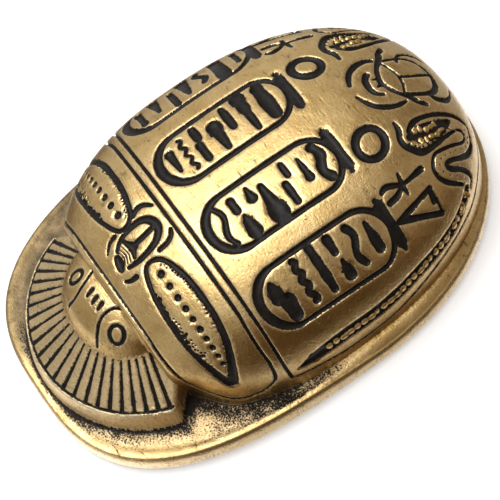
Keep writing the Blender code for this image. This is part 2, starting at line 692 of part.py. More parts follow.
def triangulate(loops, lines):
    """Triangles inside the first loop and outside the second, which follow every line.

    Gives the points on the sheet, the triangles, and where the points of the loops went.
    """
    lines = [(loop, True) for loop in loops] + lines
    points, edges, loop_faces = [], [], []
    for line, closed in lines:
        ends = list(range(len(points), len(points) + len(line)))
        points += line.tolist()
        edges += list(zip(ends, ends[1:] + ends[:1] if closed else ends[1:]))
        if len(loop_faces) < len(loops):
            loop_faces.append(ends)
    points += clear_of(lattice(), lines).tolist()
    made = delaunay_2d_cdt(points, edges, loop_faces, 0, MERGE_DISTANCE, True)
    sheet, _, triangles, origins, _, owners = made
    kept = [tuple(face) for face, owner in zip(triangles, owners) if list(owner) == [0]]
    place = {origin: i for i, group in enumerate(origins) for origin in group}
    places = [[place[i] for i in loop] for loop in loop_faces]
    return np.array([tuple(point) for point in sheet]), kept, places


def carved(surface, sheet, strokes):
    space = surface(sheet)
    cut = np.zeros(len(space))
    for stroke in strokes:
        cut = np.maximum(cut, stroke.cut_at(space))
    return space - normals(surface, sheet) * cut[:, None]


def outlines_of(strokes):
    return [outline for stroke in strokes for outline in stroke.outlines()]


def hole_border(triangles, rim):
    """The loop of edges round the hole in the triangles, in the direction that they run it."""
    edges = {edge for a, b, c in triangles for edge in ((a, b), (b, c), (c, a))}
    after = {a: b for a, b in edges if (b, a) not in edges and a not in rim}
    start = min(after)
    loop = [start]
    while after[loop[-1]] != start:
        loop.append(after[loop[-1]])
    return loop


def strip(above, below):
    """Faces between two loops of as many points, where the loops part."""
    faces = []
    for i in range(len(above)):
        j = (i + 1) % len(above)
        corners = (above[j], above[i], below[i], below[j])
        face = tuple(dict.fromkeys(corners))
        if len(face) > 2:
            faces.append(face)
    return faces


def skin():
    """The carved top: points in space, triangles, and the places of its outer rim."""
    rim = plinth_outline(FULL_TURN, PLINTH_RIM_INSET)
    strokes = front_strokes()
    lines = front_form_lines() + outlines_of(strokes)
    plan, faces, (rim_places, _) = triangulate([rim, foot_loop()], lines)
    points = carved(front, plan, strokes).tolist()
    below = hole_border(faces, set(rim_places))[::-1]
    wall_foot_y = SHIELD_FRONT_Y - WALL_DRAFT
    on_wall = np.abs(plan[below, 1] - wall_foot_y) < MERGE_DISTANCE
    edge = plan[below]
    edge[~on_wall, 0] += np.sign(edge[~on_wall, 0]) * corner_pull(edge[~on_wall, 1], 0)
    edge[on_wall, 0] *= shield_corner_x() / (shield_corner_x() - CORNER_PULL)
    edge[on_wall, 1] = SHIELD_FRONT_Y
    strokes = body_strokes()
    sheet, body_faces, (edge_places,) = triangulate([unrolled(edge)], outlines_of(strokes))
    number = {place: i for place, i, wall in zip(edge_places, below, on_wall) if not wall}
    for place, point in enumerate(carved(body, sheet, strokes)):
        if place not in number:
            number[place] = len(points)
            points.append(tuple(point))
    faces += [tuple(number[place] for place in face) for face in body_faces]
    above = [number[place] for place in edge_places]
    return points, faces + strip(above, below), rim_places


def with_plinth(points, faces, rim):
    """Closes the skin with the plinth's side and its flat underside."""
    above = rim
    levels = ((0, PLINTH_RIM_BEND_AT), (0, PLINTH_FOOT_BEND_AT), (PLINTH_FOOT_INSET, 0))
    heights = [points[place][2] for place in rim]
    for inset, share in levels:
        below = list(range(len(points), len(points) + OUTLINE_POINTS))
        points += [(x, y, z * share) for (x, y), z in zip(plinth_outline(FULL_TURN, inset), heights)]
        faces += strip(above, below)
        above = below
    return points, [*faces, tuple(reversed(above))]


def without_loose(points, faces):
    used = sorted({place for face in faces for place in face})
    number = {place: i for i, place in enumerate(used)}
    return [points[place] for place in used], [tuple(number[place] for place in face) for face in faces]


def brass():
    material = bpy.data.materials.new("antiqued_brass")
    material.use_nodes = True
    shader = material.node_tree.nodes["Principled BSDF"]
    shader.inputs["Base Color"].default_value = BRASS_COLOUR
    shader.inputs["Metallic"].default_value = 1.0
    shader.inputs["Roughness"].default_value = BRASS_ROUGHNESS
    return material


def main():
    for old in list(bpy.data.objects):
        bpy.data.objects.remove(old)
    points, faces = without_loose(*with_plinth(*skin()))
    mesh = bpy.data.meshes.new("scarab")
    mesh.from_pydata(points, [], faces)
    mesh.materials.append(brass())
    scarab = bpy.data.objects.new("scarab", mesh)
    bpy.context.collection.objects.link(scarab)
    mesh.shade_smooth()
    mesh.set_sharp_from_angle(angle=SHARP_ANGLE)


main()
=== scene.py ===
# The looks of a cast brass scarab: its carved skin as one fine mesh, its antiqued finish with some
# painted shade, a pale floor, soft light and the camera. Metres, +Z up, the head towards -Y.
#
# The skin is two sheets, the plan of the front and the unrolled body. Each is filled with points:
# rows along the walls of every groove, and an even lattice between. They are joined into triangles
# on the sheet and lifted to their places in space.

import json

import bpy
import numpy as np
from mathutils import Matrix
from mathutils.geometry import delaunay_2d_cdt

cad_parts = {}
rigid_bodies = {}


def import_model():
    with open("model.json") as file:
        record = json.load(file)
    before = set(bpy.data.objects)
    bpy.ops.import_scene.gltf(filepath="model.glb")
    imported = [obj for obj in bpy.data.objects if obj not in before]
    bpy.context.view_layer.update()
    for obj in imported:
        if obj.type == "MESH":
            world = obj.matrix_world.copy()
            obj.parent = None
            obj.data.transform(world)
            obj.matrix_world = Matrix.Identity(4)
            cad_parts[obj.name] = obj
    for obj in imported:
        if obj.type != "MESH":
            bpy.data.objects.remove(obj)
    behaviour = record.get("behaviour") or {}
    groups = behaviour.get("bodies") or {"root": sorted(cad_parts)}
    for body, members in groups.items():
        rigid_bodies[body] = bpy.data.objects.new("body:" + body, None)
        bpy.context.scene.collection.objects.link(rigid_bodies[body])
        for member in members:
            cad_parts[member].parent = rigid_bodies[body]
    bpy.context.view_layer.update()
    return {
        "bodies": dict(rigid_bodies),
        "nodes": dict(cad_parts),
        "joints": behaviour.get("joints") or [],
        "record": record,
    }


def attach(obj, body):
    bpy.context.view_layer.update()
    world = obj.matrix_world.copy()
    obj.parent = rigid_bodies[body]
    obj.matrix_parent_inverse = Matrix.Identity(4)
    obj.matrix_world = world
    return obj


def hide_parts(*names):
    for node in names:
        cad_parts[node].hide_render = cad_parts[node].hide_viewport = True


# Plinth
LENGTH = 0.0760
WIDTH = 0.0532
PLINTH_HEIGHT = 0.0037
PLINTH_RIM_INSET = 0.0005
PLINTH_DISH = 0.0003
DISH_SPAN = (0.0002, 0.0013)
RIM_ROUND = 0.0019
RIM_FALL = 0.0008
PLINTH_WIDEST_Y = 0.06 * LENGTH
FRONT_FULLNESS = 2.87
REAR_FULLNESS = 2.13
# Inset and height of the levels down the plinth's side.
PLINTH_SIDE = (
    (0.00036, 0.00357), (0.00022, 0.00340), (0.00011, 0.00315), (0.00003, 0.00280), (0.0, 0.0024),
    (0.0, 0.0018), (0.0, 0.0012), (0.0, 0.0007), (0.00008, 0.00035), (0.0002, 0.0001), (0.0003, 0.0),
)

# Body: thorax shield and wing cases
SIDE_LEDGE = 0.0023
REAR_LEDGE = 0.00095
BODY_RISE = 0.02017
BODY_MIDDLE_Y = 0.037 * LENGTH
BODY_NOSE_Y = -0.353 * LENGTH
BODY_OUTLINE_FULLNESS = 2.34
BODY_SECTION_FULLNESS = 3.11
SHIELD_FRONT_AT = -0.278
SHIELD_EDGE_ROUND = 0.00035
WALL_DRAFT = 0.0003
# The shield's front corners are drawn in towards their foot, over this part of the rise.
CORNER_PULL = 0.0026
CORNER_LENGTH = 0.0061
CORNER_SPAN = (0.05, 0.50)

# Fan before the head
FRONT_LEDGE = 0.0016
FAN_RADIUS = 0.0192
FAN_END_ANGLE = np.radians(43.8)
FAN_END_FOCUS_Y = -0.0822 * LENGTH
FAN_EDGE_RISE = 0.0039
FAN_SLOPE = 0.65
LIP_WIDTH = 0.0012
LIP_RISE = 0.0003
LIP_ROUND = 0.0006
LIP_ROUND_DROP = 0.0009
FAN_DRAFT = 0.0008
END_ROUND = 0.0006
RIBS_EACH_SIDE = 11
RIB_STEP = np.radians(7.9)
RIB_CROWDING = np.radians(0.11)
RIB_FOCUS_AHEAD = 0.0013

# Head
HEAD_HALF_WIDTH = 0.0100
HEAD_HALF_LENGTH = 0.0088
HEAD_RISE = 0.0047
HEAD_FULLNESS = 2.2
HEAD_CROWN = 0.75
HEAD_AHEAD = 0.0022
EYE_RADIUS = 0.0011

# Grooves
GROOVE_DEPTH = 0.00045
LINE_WIDTH = 0.00055
DASH_WIDTH = 0.00085
EYE_LINE_WIDTH = 0.0007
FRAME_WIDTH = 0.00090
FRAME_SWELL = 0.75
RIB_WIDTH = 0.00068
RIB_TAPER = 0.62
RIB_DEPTH = 0.00042
RIB_SHOULDER = 0.00030
LIP_GROOVE_WIDTH = 0.00045
SIGN_WIDTH = 0.0008
TIE_WIDTH = 0.0017
RING_WIDTH = 0.0013
HAIR_WIDTH = 0.0002
HAIR_DEPTH = 0.00012
# The unit of the widths in the tables, and how much bolder than drawn the lines are cut.
TENTH = 0.0001
CUT_BOLDNESS = 1.2
# A groove's section: a worn shoulder, or the sharp edge of a pit, and a steep wall that ends in a
# flat floor.
SHOULDER = 0.00012
EDGE = 0.00004
SHOULDER_DROP = 0.00005
WALL = 0.00015
WALL_DROP = 0.92
FLOOR_AT = 3 * WALL
# The sizes of the patches in which widths, pits' places and pits' widths vary.
WIDTH_PATCH = 0.0011
PIT_PATCH = 0.0004
PIT_SIZE_PATCH = 0.0005

# Wear, patina, darkening along the body's foot, and the far side's veil of dirt and painted shade.
# Wear fades out beside a groove, and patina starts over its edge.
FADE = 0.00045
SIDE_WEAR = 0.45
SIDE_VEIL = 0.75
LIP_WEAR = 3.0
RIB_WEAR = 1.5
LIP_WEAR_START = 0.0003
RIB_WEAR_SPAN = (1.03, 1.10)
DIRT_SPAN = (-0.00007, 0.00008)
FOOT_DARKENING_SPAN = (0.00002, 0.00035)
BEAD_CLEAN_SPAN = (0.0001, 0.00022)
REAR_SPAN = (-0.010, 0.008)
FAR_SPAN = (-0.014, 0.002)
# Where the ledge's rough ground starts inside the rim, and where it is sheltered.
LEDGE_SPAN = (0.0001, 0.0008)
SHELTER_BY_FAN = (0, 0.003)
SHELTER_BY_FOOT = (0, 0.0036)
SHELTER_ALONG = (-0.028, -0.012)
GROUND_RISE = 0.0002
FAN_GROUND_SPAN = (-0.0003, 0)
FAN_UNEVEN = 0.00012
# How far the darkening spreads beside the fan and the body's foot, and how far the painted shade spreads
# under the lip, low on the fan's wall and at the head's foot.
CORNER_BY_FAN = (0.0006, 0.0024)
CORNER_BY_FOOT = (0.0010, 0.0042)
UNDER_LIP_SPAN = (0, 0.0012)
LOW_WALL_SPAN = (0.0001, 0.0007)
HEAD_FOOT_SPAN = (0.0001, 0.0006)

# Dots along each leaf
DOTS = 10
DOT_WIDTH = 0.00125
DOT_TAPER = 0.75
FIRST_DOT_AT = 0.241
DOT_STEP = 0.092
DOT_CROWDING = 0.0034
DOTS_ALONG_AT = -0.185

# Fineness of the skin
STATION = 0.00030
BODY_SPACING = 0.00052
FRONT_SPACING = 0.00042
CURVE_PIECES = 10
LINE_POINTS = 25
RING_POINTS = 32
EYE_POINTS = 24
HEAD_POINTS = 200
OUTLINE_POINTS = 480
MERGE_DISTANCE = 0.00001
TANGENT_STEP = 0.00005
FINE_STEP = 0.00002
LEAST_OFFSET = STATION / 4

# Noise: the shift from one seed to the next, and large primes that scramble a cell's numbers.
SEED_SHIFT = 17.3
HASH_PRIMES = (73856093, 19349663, 83492791, 1274126177)

BODY_HALF_WIDTH = WIDTH / 2 - SIDE_LEDGE
BODY_REAR = LENGTH / 2 - REAR_LEDGE - BODY_MIDDLE_Y
BODY_FRONT = BODY_MIDDLE_Y - BODY_NOSE_Y
SHIELD_FRONT_Y = SHIELD_FRONT_AT * LENGTH
FAN_CENTRE_Y = -LENGTH / 2 + FRONT_LEDGE + FAN_RADIUS
FAN_END_SIN = np.sin(FAN_END_ANGLE)
FAN_END_COS = np.cos(FAN_END_ANGLE)
LIP_RADIUS = FAN_RADIUS - LIP_WIDTH
HEAD_CENTRE_Y = FAN_CENTRE_Y - HEAD_AHEAD
RIB_FOCUS_Y = FAN_CENTRE_Y - RIB_FOCUS_AHEAD
SIDES = (1, -1)
FULL_TURN = np.linspace(0, 2 * np.pi, OUTLINE_POINTS, endpoint=False)

# The body's section from crown to foot: shares of the way out, of the rise, and of the way round.
SECTION_TURN = np.pi / 2 * (1 - np.linspace(1, 0, 3001) ** 2)
SECTION_OUT = np.sin(SECTION_TURN) ** (2 / BODY_OUTLINE_FULLNESS)
SECTION_RISE = np.abs(np.cos(SECTION_TURN)) ** (2 / BODY_SECTION_FULLNESS)
SECTION_STEPS = np.hypot(np.diff(SECTION_OUT) * BODY_HALF_WIDTH, np.diff(SECTION_RISE) * BODY_RISE)
SECTION_LENGTH = SECTION_STEPS.sum()
SECTION_WAY = np.append(0, np.cumsum(SECTION_STEPS)) / SECTION_LENGTH
SHEET_SPREAD = SECTION_LENGTH / BODY_HALF_WIDTH


# Helpers


def columns(*values):
    return np.column_stack(values)


def lengths(vectors):
    return np.linalg.norm(vectors, axis=1)


def unit(vectors):
    return vectors / np.maximum(lengths(vectors), 1e-12)[:, None]


def way_along(points):
    """How far along a line each of its points lies."""
    return np.append(0, np.cumsum(lengths(np.diff(points, axis=0))))


def sampled(at, ways, values):
    """The columns of a table with a row for each of the ways, read at other ways."""
    return columns(*(np.interp(at, ways, column) for column in values.T))


def noise(points, size, seed):
    """Smooth noise from 0 to 1 in space, with patches of the given size."""
    place = points / size + seed * SEED_SHIFT
    cell = np.floor(place).astype(np.int64)
    part = smooth_step(place - cell, 0, 1)
    total = np.zeros(len(points))
    for corner in np.ndindex(2, 2, 2):
        key = np.bitwise_xor.reduce((cell + corner) * HASH_PRIMES[:3], axis=1)
        key = (key ^ (key >> 13)) * HASH_PRIMES[3] & 0x7FFFFFFF
        share = np.prod(np.where(corner, part, 1 - part), axis=1)
        total += share * ((key ^ (key >> 16)) & 0xFFFF) / 0xFFFF
    return total


def smooth_step(value, start, end):
    share = np.clip((value - start) / (end - start), 0, 1)
    return share * share * (3 - 2 * share)


def fade(value, start, end):
    return 1 - smooth_step(value, start, end)


def largest(*values):
    return np.maximum.reduce(values)


# The plain form


def signed_power(value, power):
    return np.sign(value) * np.abs(value) ** power


def power_sum(x, y, fullness):
    """1 on the outline of a full oval, for places in shares of its half width and half length."""
    return np.abs(x) ** fullness + np.abs(y) ** fullness


def oval(turn, half_x, half_y, fullness):
    """Points round a full oval, one for each turn."""
    across, along = (signed_power(part, 2 / fullness) for part in (np.cos(turn), np.sin(turn)))
    return columns(half_x * across, half_y * along)


def plinth_fullness(along):
    return np.where(along < 0, FRONT_FULLNESS, REAR_FULLNESS)


def plinth_outline(turn, inset):
    along = np.sin(turn)
    reach = np.where(along < 0, LENGTH / 2 + PLINTH_WIDEST_Y, LENGTH / 2 - PLINTH_WIDEST_Y) - inset
    return oval(turn, WIDTH / 2 - inset, reach, plinth_fullness(along)) + [0, PLINTH_WIDEST_Y]


def rim_share(plan):
    """0 at the plinth's middle, 1 on the rim of its top."""
    along = plan[:, 1] - PLINTH_WIDEST_Y
    reach = LENGTH / 2 - PLINTH_RIM_INSET + np.where(along < 0, 1, -1) * PLINTH_WIDEST_Y
    fullness = plinth_fullness(along)
    return power_sum(plan[:, 0] / (WIDTH / 2 - PLINTH_RIM_INSET), along / reach, fullness) ** (1 / fullness)


def body_reach(along):
    return np.where(along < 0, BODY_FRONT, BODY_REAR)


def foot_share(across, along):
    """0 under the crown of the body, 1 on the line where the body meets the plinth."""
    power = BODY_OUTLINE_FULLNESS
    return power_sum(across / BODY_HALF_WIDTH, along / body_reach(along), power) ** (1 / power)


def unrolled(plan):
    """Plan coordinates on the body, as coordinates on the body's own sheet."""
    along = plan[:, 1] - BODY_MIDDLE_Y
    share = np.clip(foot_share(plan[:, 0], along), 1e-9, 1)
    stretch = SHEET_SPREAD * np.interp(share, SECTION_OUT, SECTION_WAY) / share
    return columns(plan[:, 0], along) * stretch[:, None]


def corner_pull(y, rise_share):
    """How far the shield's front corners are drawn in, at places and heights."""
    ahead = smooth_step(SHIELD_FRONT_Y + CORNER_LENGTH - y, 0, CORNER_LENGTH)
    return CORNER_PULL * ahead * fade(rise_share, *CORNER_SPAN)


def body(sheet):
    """The uncarved body: a point in space for each point of its sheet."""
    radius = np.maximum(foot_share(sheet[:, 0], sheet[:, 1]), 1e-9)
    way = np.clip(radius / SHEET_SPREAD, 0, 1)
    shrink = np.interp(way, SECTION_WAY, SECTION_OUT) / radius
    rise = np.interp(way, SECTION_WAY, SECTION_RISE)
    x, y = sheet[:, 0] * shrink, BODY_MIDDLE_Y + sheet[:, 1] * shrink
    x = x - np.sign(x) * np.minimum(corner_pull(y, rise), np.abs(x))
    return columns(x, y, PLINTH_HEIGHT + BODY_RISE * rise)


def body_normals(space):
    along = space[:, 1] - BODY_MIDDLE_Y
    reach = body_reach(along)
    power, lift = BODY_OUTLINE_FULLNESS, BODY_SECTION_FULLNESS
    x = power * signed_power(space[:, 0] / BODY_HALF_WIDTH, power - 1) / BODY_HALF_WIDTH
    y = power * signed_power(along / reach, power - 1) / reach
    z = lift * np.clip((space[:, 2] - PLINTH_HEIGHT) / BODY_RISE, 0, 1) ** (lift - 1) / BODY_RISE
    return unit(columns(x, y, z))


def fan_place(x, y):
    """Distances from the fan's centre, and past the lines of its ends."""
    return np.hypot(x, FAN_CENTRE_Y - y), np.abs(x) * FAN_END_SIN - (FAN_END_FOCUS_Y - y) * FAN_END_COS


def fan_rise(x, y):
    """Height of the fan above the plinth, with its rounded lip."""
    radius, past_end = fan_place(x, y)
    past_top = radius - FAN_RADIUS + FAN_DRAFT
    outside = np.maximum(past_top / FAN_DRAFT, past_end / WALL_DRAFT)
    rise = FAN_EDGE_RISE + FAN_SLOPE * (LIP_RADIUS - np.clip(radius, HEAD_HALF_WIDTH, LIP_RADIUS))
    rise = rise + LIP_RISE * smooth_step(radius, LIP_RADIUS - WALL_DRAFT / 2, LIP_RADIUS + WALL_DRAFT)
    for over, drop in ((past_top / LIP_ROUND, LIP_ROUND_DROP), (past_end / END_ROUND, END_ROUND)):
        rise = rise - drop * (1 - np.sqrt(1 - np.clip(1 + over, 0, 1) ** 2))
    return rise * (1 - np.clip(outside, 0, 1))


def head_sum(x, y):
    return power_sum(x / HEAD_HALF_WIDTH, (y - HEAD_CENTRE_Y) / HEAD_HALF_LENGTH, HEAD_FULLNESS)


def head_rise(x, y):
    return HEAD_RISE * np.clip(1 - head_sum(x, y), 0, None) ** HEAD_CROWN


def rearward(y):
    """0 along the front half of the plinth's ledge, 1 along its rear half."""
    return smooth_step(y, *REAR_SPAN)


def plinth_rise(plan):
    """Height of the plinth's top over its own rim: dished ahead, rounded off behind."""
    inside = (1 - rim_share(plan)) * WIDTH / 2
    rear = rearward(plan[:, 1])
    dish = PLINTH_DISH * (1 - rear) * smooth_step(inside, *DISH_SPAN)
    return -dish - RIM_FALL * rear * (1 - np.clip(inside / RIM_ROUND, 0, 1)) ** 2


def front(plan):
    """The plinth's top, the fan and the head, uncarved, for points of the plan."""
    x, y = plan.T
    fan = fan_rise(x, y)
    return columns(x, y, PLINTH_HEIGHT + np.where(fan > 0, fan + head_rise(x, y), plinth_rise(plan)))


def tangents(surface, sheet):
    steps = np.eye(2) * TANGENT_STEP
    return [(surface(sheet + step) - surface(sheet - step)) / (2 * TANGENT_STEP) for step in steps]


def normals(surface, sheet):
    return unit(np.cross(*tangents(surface, sheet)))


# Places on the form


def spots(places):
    """Places on the body, from shares of its half width and of the whole length."""
    return unrolled(np.array(places, float) * [BODY_HALF_WIDTH, LENGTH])


def across_body(reach, along, count):
    """A straight line of places across the body, as far as a reach to each side."""
    return spots([(u, along) for u in np.linspace(-reach, reach, count)])


def flank(places):
    """Places on the right flank, from thousandths of the length and of the body's rise."""
    along, rise = np.array(places, float)[:, :2].T / 1000
    along = along * LENGTH - BODY_MIDDLE_Y
    way = np.interp(-rise, -SECTION_RISE, SECTION_WAY)
    share = np.interp(way, SECTION_WAY, SECTION_OUT)
    power = BODY_OUTLINE_FULLNESS
    across = np.clip(share**power - np.abs(along / body_reach(along)) ** power, 0, None) ** (1 / power)
    return columns(across * BODY_HALF_WIDTH, along) * (SHEET_SPREAD * way / share)[:, None]


def head_spots(places):
    """Places on the head, from shares of its half width and its half length."""
    return np.array(places, float) * [HEAD_HALF_WIDTH, -HEAD_HALF_LENGTH] + [0, HEAD_CENTRE_Y]


def curve(points, closed=False):
    """A smooth curve through the points. Further columns, such as widths, are carried along."""
    points = np.array(points, float)
    count = len(points)
    out = []
    for i in range(count if closed else count - 1):
        four = np.arange(i - 1, i + 3)
        before, start, end, after = points[four % count if closed else four.clip(0, count - 1)]
        for t in np.arange(CURVE_PIECES) / CURVE_PIECES:
            pull = (end - before) * t + (2 * before - 5 * start + 4 * end - after) * t**2
            pull = pull + (3 * start - before - 3 * end + after) * t**3
            out.append(start + pull / 2)
    return np.array(out if closed else [*out, points[-1]])


def ring(radius, points):
    turn = np.arange(points) * 2 * np.pi / points
    return radius * columns(np.cos(turn), np.sin(turn))


def profile(inside, depth, shoulder):
    """Depth of a groove at a distance inside its edge."""
    drop = SHOULDER_DROP * shoulder / SHOULDER
    return np.interp(inside, (-shoulder, 0, WALL, FLOOR_AT), (0, drop, WALL_DROP * depth, depth))


class Stroke:
    """A groove along a line on a sheet, with a width, or one at each point, and a depth."""

    def __init__(self, surface, line, width, depth=GROOVE_DEPTH, closed=False, uneven=0.10,
                 shoulder=SHOULDER):
        self.surface, self.depth, self.closed = surface, depth, closed
        self.uneven, self.shoulder = uneven, shoulder
        line = np.array(line, float)
        half = np.broadcast_to(np.array(width, float), len(line)) / 2
        self.source = line, half
        self.line, self.half = self.even_steps(line, half)
        self.space = surface(self.line)
        self.half = self.half * (1 + uneven * (noise(self.space, WIDTH_PATCH, 3) - 0.5) * 2)

    def even_steps(self, line, half):
        """The line and the half width at even steps along it."""
        if len(line) == 1:
            return line, half
        both = columns(line, half)
        if self.closed:
            both = np.vstack([both, both[:1]])
        fine = np.arange((len(both) - 1) * 8 + 1) / 8
        both = sampled(fine, np.arange(len(both)), both)
        way = way_along(self.surface(both[:, :2]))
        count = max(int(np.ceil(way[-1] / STATION)), 2)
        both = sampled(np.linspace(0, way[-1], count + 1)[: -1 if self.closed else None], way, both)
        return both[:, :2], both[:, 2]

    def mirrored(self, side):
        """The same stroke on the given side, 1 for this one."""
        line, half = self.source
        options = self.depth, self.closed, self.uneven, self.shoulder
        return Stroke(self.surface, line * [side, 1], half * 2, *options)

    def moved(self, index, way):
        """Points of the sheet that lie a given way in space from points of the line."""
        frame = np.stack(tangents(self.surface, self.line[index]), axis=2)
        return self.line[index] + (np.linalg.pinv(frame) @ way[:, :, None])[:, :, 0]

    def along(self):
        if len(self.line) == 1:
            return tangents(self.surface, self.line)[0]
        if self.closed:
            return np.roll(self.space, -1, 0) - np.roll(self.space, 1, 0)
        return np.gradient(self.space, axis=0)

    def rows(self):
        """Points along the groove's walls, on the sheet, and how far inside its edge each lies."""
        last = len(self.line) - 1
        along = unit(self.along())
        across = np.cross(normals(self.surface, self.line), along)
        places, insides = [self.line], [self.half]
        for inside in (-self.shoulder, 0, WALL):
            away = self.half - inside
            fits = np.flatnonzero(away > LEAST_OFFSET)
            rows = [(fits, side * across[fits] * away[fits, None]) for side in SIDES if last]
            for end in () if self.closed else sorted({0, last}):
                if away[end] > LEAST_OFFSET:
                    sweep = np.pi if last else 2 * np.pi
                    number = max(int(np.ceil(away[end] * sweep / STATION)), 3)
                    turn = np.linspace(0, sweep, number + 1)[1 if last else 0 : -1, None]
                    out = along[end] * (1 if end else -1)
                    way = np.cos(turn) * across[end] + np.sin(turn) * out
                    rows.append((np.full(len(turn), end), way * away[end]))
            for index, way in rows:
                if len(index):
                    places.append(self.moved(index, way))
                    insides.append(np.full(len(index), inside))
        return np.vstack(places), np.concatenate(insides)


class Bump:
    """A raised oval bead on the body, along a way in its sheet."""

    def __init__(self, middle, ahead, half_long, half_wide, rise):
        self.middle = middle[None]
        self.space, end = body(np.stack([middle, ahead]))
        self.along = (end - self.space) / np.linalg.norm(end - self.space)
        self.across = np.cross(normals(body, self.middle)[0], self.along)
        self.half_long, self.half_wide, self.rise = half_long, half_wide, rise

    def rows(self):
        first, second = tangents(body, self.middle)
        frame = np.linalg.pinv(columns(first[0], second[0]))
        places = [self.middle]
        for share in BEAD_RINGS:
            around = ring(share, BEAD_POINTS) * [self.half_long, self.half_wide]
            way = around[:, :1] * self.along + around[:, 1:] * self.across
            places.append(self.middle + way @ frame.T)
        return np.vstack(places)

    def lift_at(self, offset):
        along, across = offset @ self.along / self.half_long, offset @ self.across / self.half_wide
        return self.rise * np.minimum(BEAD_FULLNESS * np.sqrt(np.clip(1 - along**2 - across**2, 0, None)), 1)


def on_both_sides(strokes):
    return [stroke.mirrored(side) for stroke in strokes for side in SIDES]


def dots(middles, widths):
    """Round pits with sharp edges on the body."""
    return [Stroke(body, [middle], width, shoulder=EDGE) for middle, width in zip(middles, widths)]


# The carving on the body

# The outlines of the shield and the wing cases along the flank.
SHIELD_FLANK = ((-115, 450), (-117, 280), (-126, 190), (-153, 115), (-190, 90), (-226, 160), (-248, 260),
    (-263, 400))
WING_FLANK = ((-92, 140), (-60, 125), (-20, 110), (20, 90), (95, 80), (145, 90), (200, 130), (245, 160),
    (290, 175), (335, 180), (390, 180), (470, 180))


def shield_edge():
    right = curve(flank(SHIELD_FLANK))
    ahead = across_body(-0.45, SHIELD_FRONT_AT + 0.008, 31)
    return np.vstack([across_body(0.7, -0.114, 41), right, ahead, right[::-1] * [-1, 1]])


def wing_edge():
    right = curve(flank(WING_FLANK))
    return np.vstack([across_body(0.93, -0.095, 61), right, right[::-1] * [-1, 1]])


def cut(places, closed=False):
    """A groove through places on the body, in thousandths, each with its width."""
    places = np.array(places, float)
    line = curve(columns(spots(places[:, :2] / 1000), places[:, 2]), closed)
    return Stroke(body, line[:, :2], (line[:, 2] * CUT_BOLDNESS + 1) * TENTH, closed=closed)


def cuts(lines):
    return [cut(line) for line in lines]


def stations(places, step, side=1):
    """Even steps in plan along a curve on the body: points, and the ways ahead and to a side."""
    line = curve(np.array(places, float)[:, :2] / 1000 * [BODY_HALF_WIDTH, LENGTH])
    way = way_along(line)
    at = np.arange(step / 2, way[-1], step)
    ahead = sampled(at, way, np.gradient(line, axis=0))
    return sampled(at, way, line), ahead, ahead[:, ::-1] * [-side, side] / lengths(ahead)[:, None]


def notches(places, step, start, length, width):
    """Short cuts across a curve, from a little way off it, of uneven lengths."""
    points, _, across = stations(places, step)
    size = 0.6 + 0.8 * noise(body(unrolled(points)), PIT_PATCH, 5)
    ends = [(p + start * n, p + (start + length * k) * n) for p, n, k in zip(points, across, size)]
    return [Stroke(body, unrolled(np.array(pair)), width) for pair in ends]


def ragged(places, step, off, reach, width):
    """Small pits of many sizes beside a curve, which make the edge of a groove ragged."""
    points, _, across = stations(places, step)
    space = body(unrolled(points))
    away = off + reach * noise(space, PIT_PATCH, 5)
    size = width * (0.3 + 1.4 * noise(space, PIT_SIZE_PATCH, 8))
    return dots(unrolled(points + across * away[:, None]), size)


FRAMES = ((0.088, 0.447), (0.604, 0.900))
FRAME_FRONT = -0.0735
FRAME_REAR = 0.205
FRAME_ROUND = 0.055
FRAME_REAR_SWELL = 0.15
TIE_AT = 0.209

# Kinds of plain stroke: a straight bar, a drop with one thin end, one that waves and one that swings.
BAR, DROP, WAVE, SWING = range(4)
WAVE_HEIGHT, WAVE_TURNS, SWING_HEIGHT = 0.0045, 3.5, 0.007
# Rows of them in the frames of the near and the far side, inner frame first: place along, start and
# end across, in hundredths of the frame, width, and kind.
NEAR_ROWS = (
    ((12, 15, 85, 1.1, SWING), (24, 20, 40, 1.7, BAR), (26, 54, 84, 2.1, DROP), (37, 16, 36, 1.5, DROP),
     (46, 28, 84, 2.6, DROP), (60, 50, 84, 1.4, BAR), (65, 16, 38, 1.2, BAR), (76, 24, 62, 1.4, DROP),
     (88, 20, 80, 2.1, SWING)),
    ((13, 24, 50, 2.2, DROP), (17, 62, 86, 2.6, BAR), (33, 14, 86, 1.6, WAVE), (47, 12, 88, 1.9, BAR),
     (60, 16, 42, 1.7, BAR), (61, 60, 84, 1.7, DROP), (74, 18, 82, 1.5, SWING), (87, 28, 74, 1.8, DROP)),
)
FAR_ROWS = (
    ((11, 30, 70, 1.5, DROP), (21, 16, 84, 0.9, WAVE), (31, 20, 50, 1.5, BAR), (33, 64, 86, 1.8, BAR),
     (46, 16, 64, 2.4, DROP), (57, 44, 86, 1.6, BAR), (70, 14, 86, 2.1, DROP), (85, 20, 82, 2.7, BAR)),
    ((12, 25, 75, 1.5, BAR), (25, 30, 84, 1.9, DROP), (38, 14, 68, 1.5, BAR), (49, 22, 86, 2.1, DROP),
     (62, 28, 80, 1.4, SWING), (76, 14, 86, 2.8, BAR), (90, 26, 74, 1.3, BAR)),
)


def frame_loop(inner, outer):
    """A frame with round ends: its line, and the groove's width at each point."""
    turn = np.radians(np.linspace(90, -90, LINE_POINTS))
    middle, half = (inner + outer) / 2, (outer - inner) / 2
    rear = [(middle + half * np.sin(t), FRAME_REAR - FRAME_ROUND * (1 - np.cos(t))) for t in turn]
    ahead = [(middle - half * np.sin(t), FRAME_FRONT + FRAME_ROUND * (1 - np.cos(t))) for t in turn]
    widths = FRAME_WIDTH * np.append(1 + FRAME_REAR_SWELL * np.cos(turn), 1 + FRAME_SWELL * np.cos(turn))
    return spots(rear + ahead), widths


